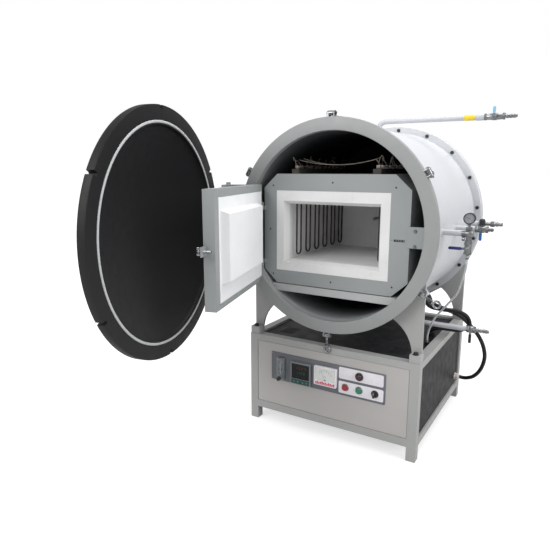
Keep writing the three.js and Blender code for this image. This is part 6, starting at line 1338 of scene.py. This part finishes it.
# rear cover's thermocouple head, louvre hoods and panel screws on the cabinet
headSize = {"from": 850.6, "length": 34.0, "cap": 12.0, "sheath": 470.0}
s = headSize
low, tip = s["from"], s["sheath"]
high = low + s["length"]
head = oneOf("sensorHead", [
    lathed("sensorBody", [(low, 8), (low, 13.0), (low + 4, 13.4), (low + 7, 19.0), (low + 9, 20.0), (high - 6, 20.0),
                          (high - 5.4, 18.6), (high - 4.6, 18.6), (high - 4.2, 19.8), (high, 19.4), (high + 6, 15.0),
                          (high + s["cap"], 11.0), (high + s["cap"], 1.0)], 40),
    lathed("sensorSheath", [(tip, 2.0), (tip + 1.4, 4.6), (tip + 4, 6.0), (low + 2, 6.0)], 24),
    placed(flatted("sensorNut", 30.0, 6.0, 7.0), moved(0, 0, low + 0.4))])
settle(head, vesselPlace @ alongY, "steel", ["thermocouple"])
panelSize = {"louvres": (-150.0, 150.0), "wide": 76.0, "z": (202.0, 286.0), "pitch": 12.0, "rear": 731.0, "side": 363.0,
             "sideScrews": (70, 378, 686), "rearScrews": (-320, 0, 320), "screwHeights": (102, 352)}
s = panelSize
hood = slab("hoodPlate", (-s["wide"] / 2, 0, -3.0), (s["wide"] / 2, 4.2, 6.0), 0.4)
pick(hood, "FACE", lambda face: face.normal.z > 0.9)
bpy.ops.transform.translate(value=(0, -2.6, 0))
backToObject()
low, high = s["z"]
rows = range(int((high - low) / s["pitch"]) + 1)
hoods = [twin(hood, moved(x, s["rear"] + 0.2, low + s["pitch"] * row), "hood") for x in s["louvres"] for row in rows]
dropped(hood)
settle(oneOf("louvreHoods", hoods), standPlace, "darkPanel")
spots = [moved(side * (s["side"] + 0.1), y, z) @ turn
         for side, turn in ((-1, alongMinusX), (1, alongX)) for y in s["sideScrews"] for z in s["screwHeights"]]
spots += [moved(x, s["rear"] + 0.1, z) @ alongY for x in s["rearScrews"] for z in s["screwHeights"]]
screws = [placed(lathed("panelScrew", [(0, 4.0), (0.8, 4.0), (2.0, 3.0), (2.4, 1.6), (2.4, 0.5)], 20), spot)
          for spot in spots]
settle(oneOf("panelScrews", screws), standPlace, "darkSteel")
print("rear and side details made")

# plain floor and soft light; the floor and the air look white to the camera and light the furnace less
studio = {"floor": 90.0, "paper": tint(190, 190, 190), "paperSpots": tint(186, 186, 186), "near": (1.6, 0.62),
          "far": (5.0, 0.88), "bounce": 0.1, "air": 0.5, "target": Vector((0, 0, 0.7)),
          "lamps": {"keyLamp": ((-1.6, -3.6, 3.2), 2.8, 130.0), "sideLamp": ((4.2, -0.6, 2.8), 2.6, 98.0),
                    "topLamp": ((0.6, 0.9, 4.2), 3.2, 120.0)}}
white = (1.0, 1.0, 1.0, 1.0)


# all of the light for the camera's own sight, and a share of it for everything else
def cameraLight(tree, share):
    seen = tree.nodes.new("ShaderNodeLightPath").outputs["Is Camera Ray"]
    return ranged(tree, seen, (0.0, 1.0), (share, 1.0))


bpy.ops.object.select_all(action="DESELECT")
bpy.ops.mesh.primitive_plane_add(size=studio["floor"], location=(0, 0, 0))
floor = bpy.context.object
floor.name = "studioFloor"
bpy.ops.object.mode_set(mode="EDIT")
bpy.ops.mesh.subdivide(number_cuts=8)
backToObject()
floorLook, tree, shader, where = startLook("floorPaper")
feed(tree, shader.inputs["Base Color"], blended(tree, cloudy(tree, where, 0.8), studio["paper"], studio["paperSpots"]))
shader.inputs["Roughness"].default_value = 0.9
shader.inputs["Emission Color"].default_value = white
distance = tree.nodes.new("ShaderNodeVectorMath")
distance.operation = "LENGTH"
tree.links.new(where, distance.inputs[0])
edges, whites = zip(studio["near"], studio["far"])
paleness = ranged(tree, distance.outputs["Value"], edges, whites)
feed(tree, shader.inputs["Emission Strength"], product(tree, cameraLight(tree, studio["bounce"]), paleness))
floor.data.materials.append(floorLook)
sky = bpy.data.worlds.new("studioAir")
bpy.context.scene.world = sky
sky.use_nodes = True
air = sky.node_tree.nodes["Background"]
air.inputs["Color"].default_value = white
feed(sky.node_tree, air.inputs["Strength"], cameraLight(sky.node_tree, studio["air"]))
for lampName, (place, size, power) in studio["lamps"].items():
    gaze = studio["target"] - Vector(place)
    bpy.ops.object.light_add(type="AREA", location=place, rotation=gaze.to_track_quat("-Z", "Y").to_euler())
    lamp = bpy.context.object
    lamp.name = lampName
    lamp.data.size = size
    lamp.data.energy = power
bpy.context.scene.view_settings.view_transform = "Standard"
print("studio lit")
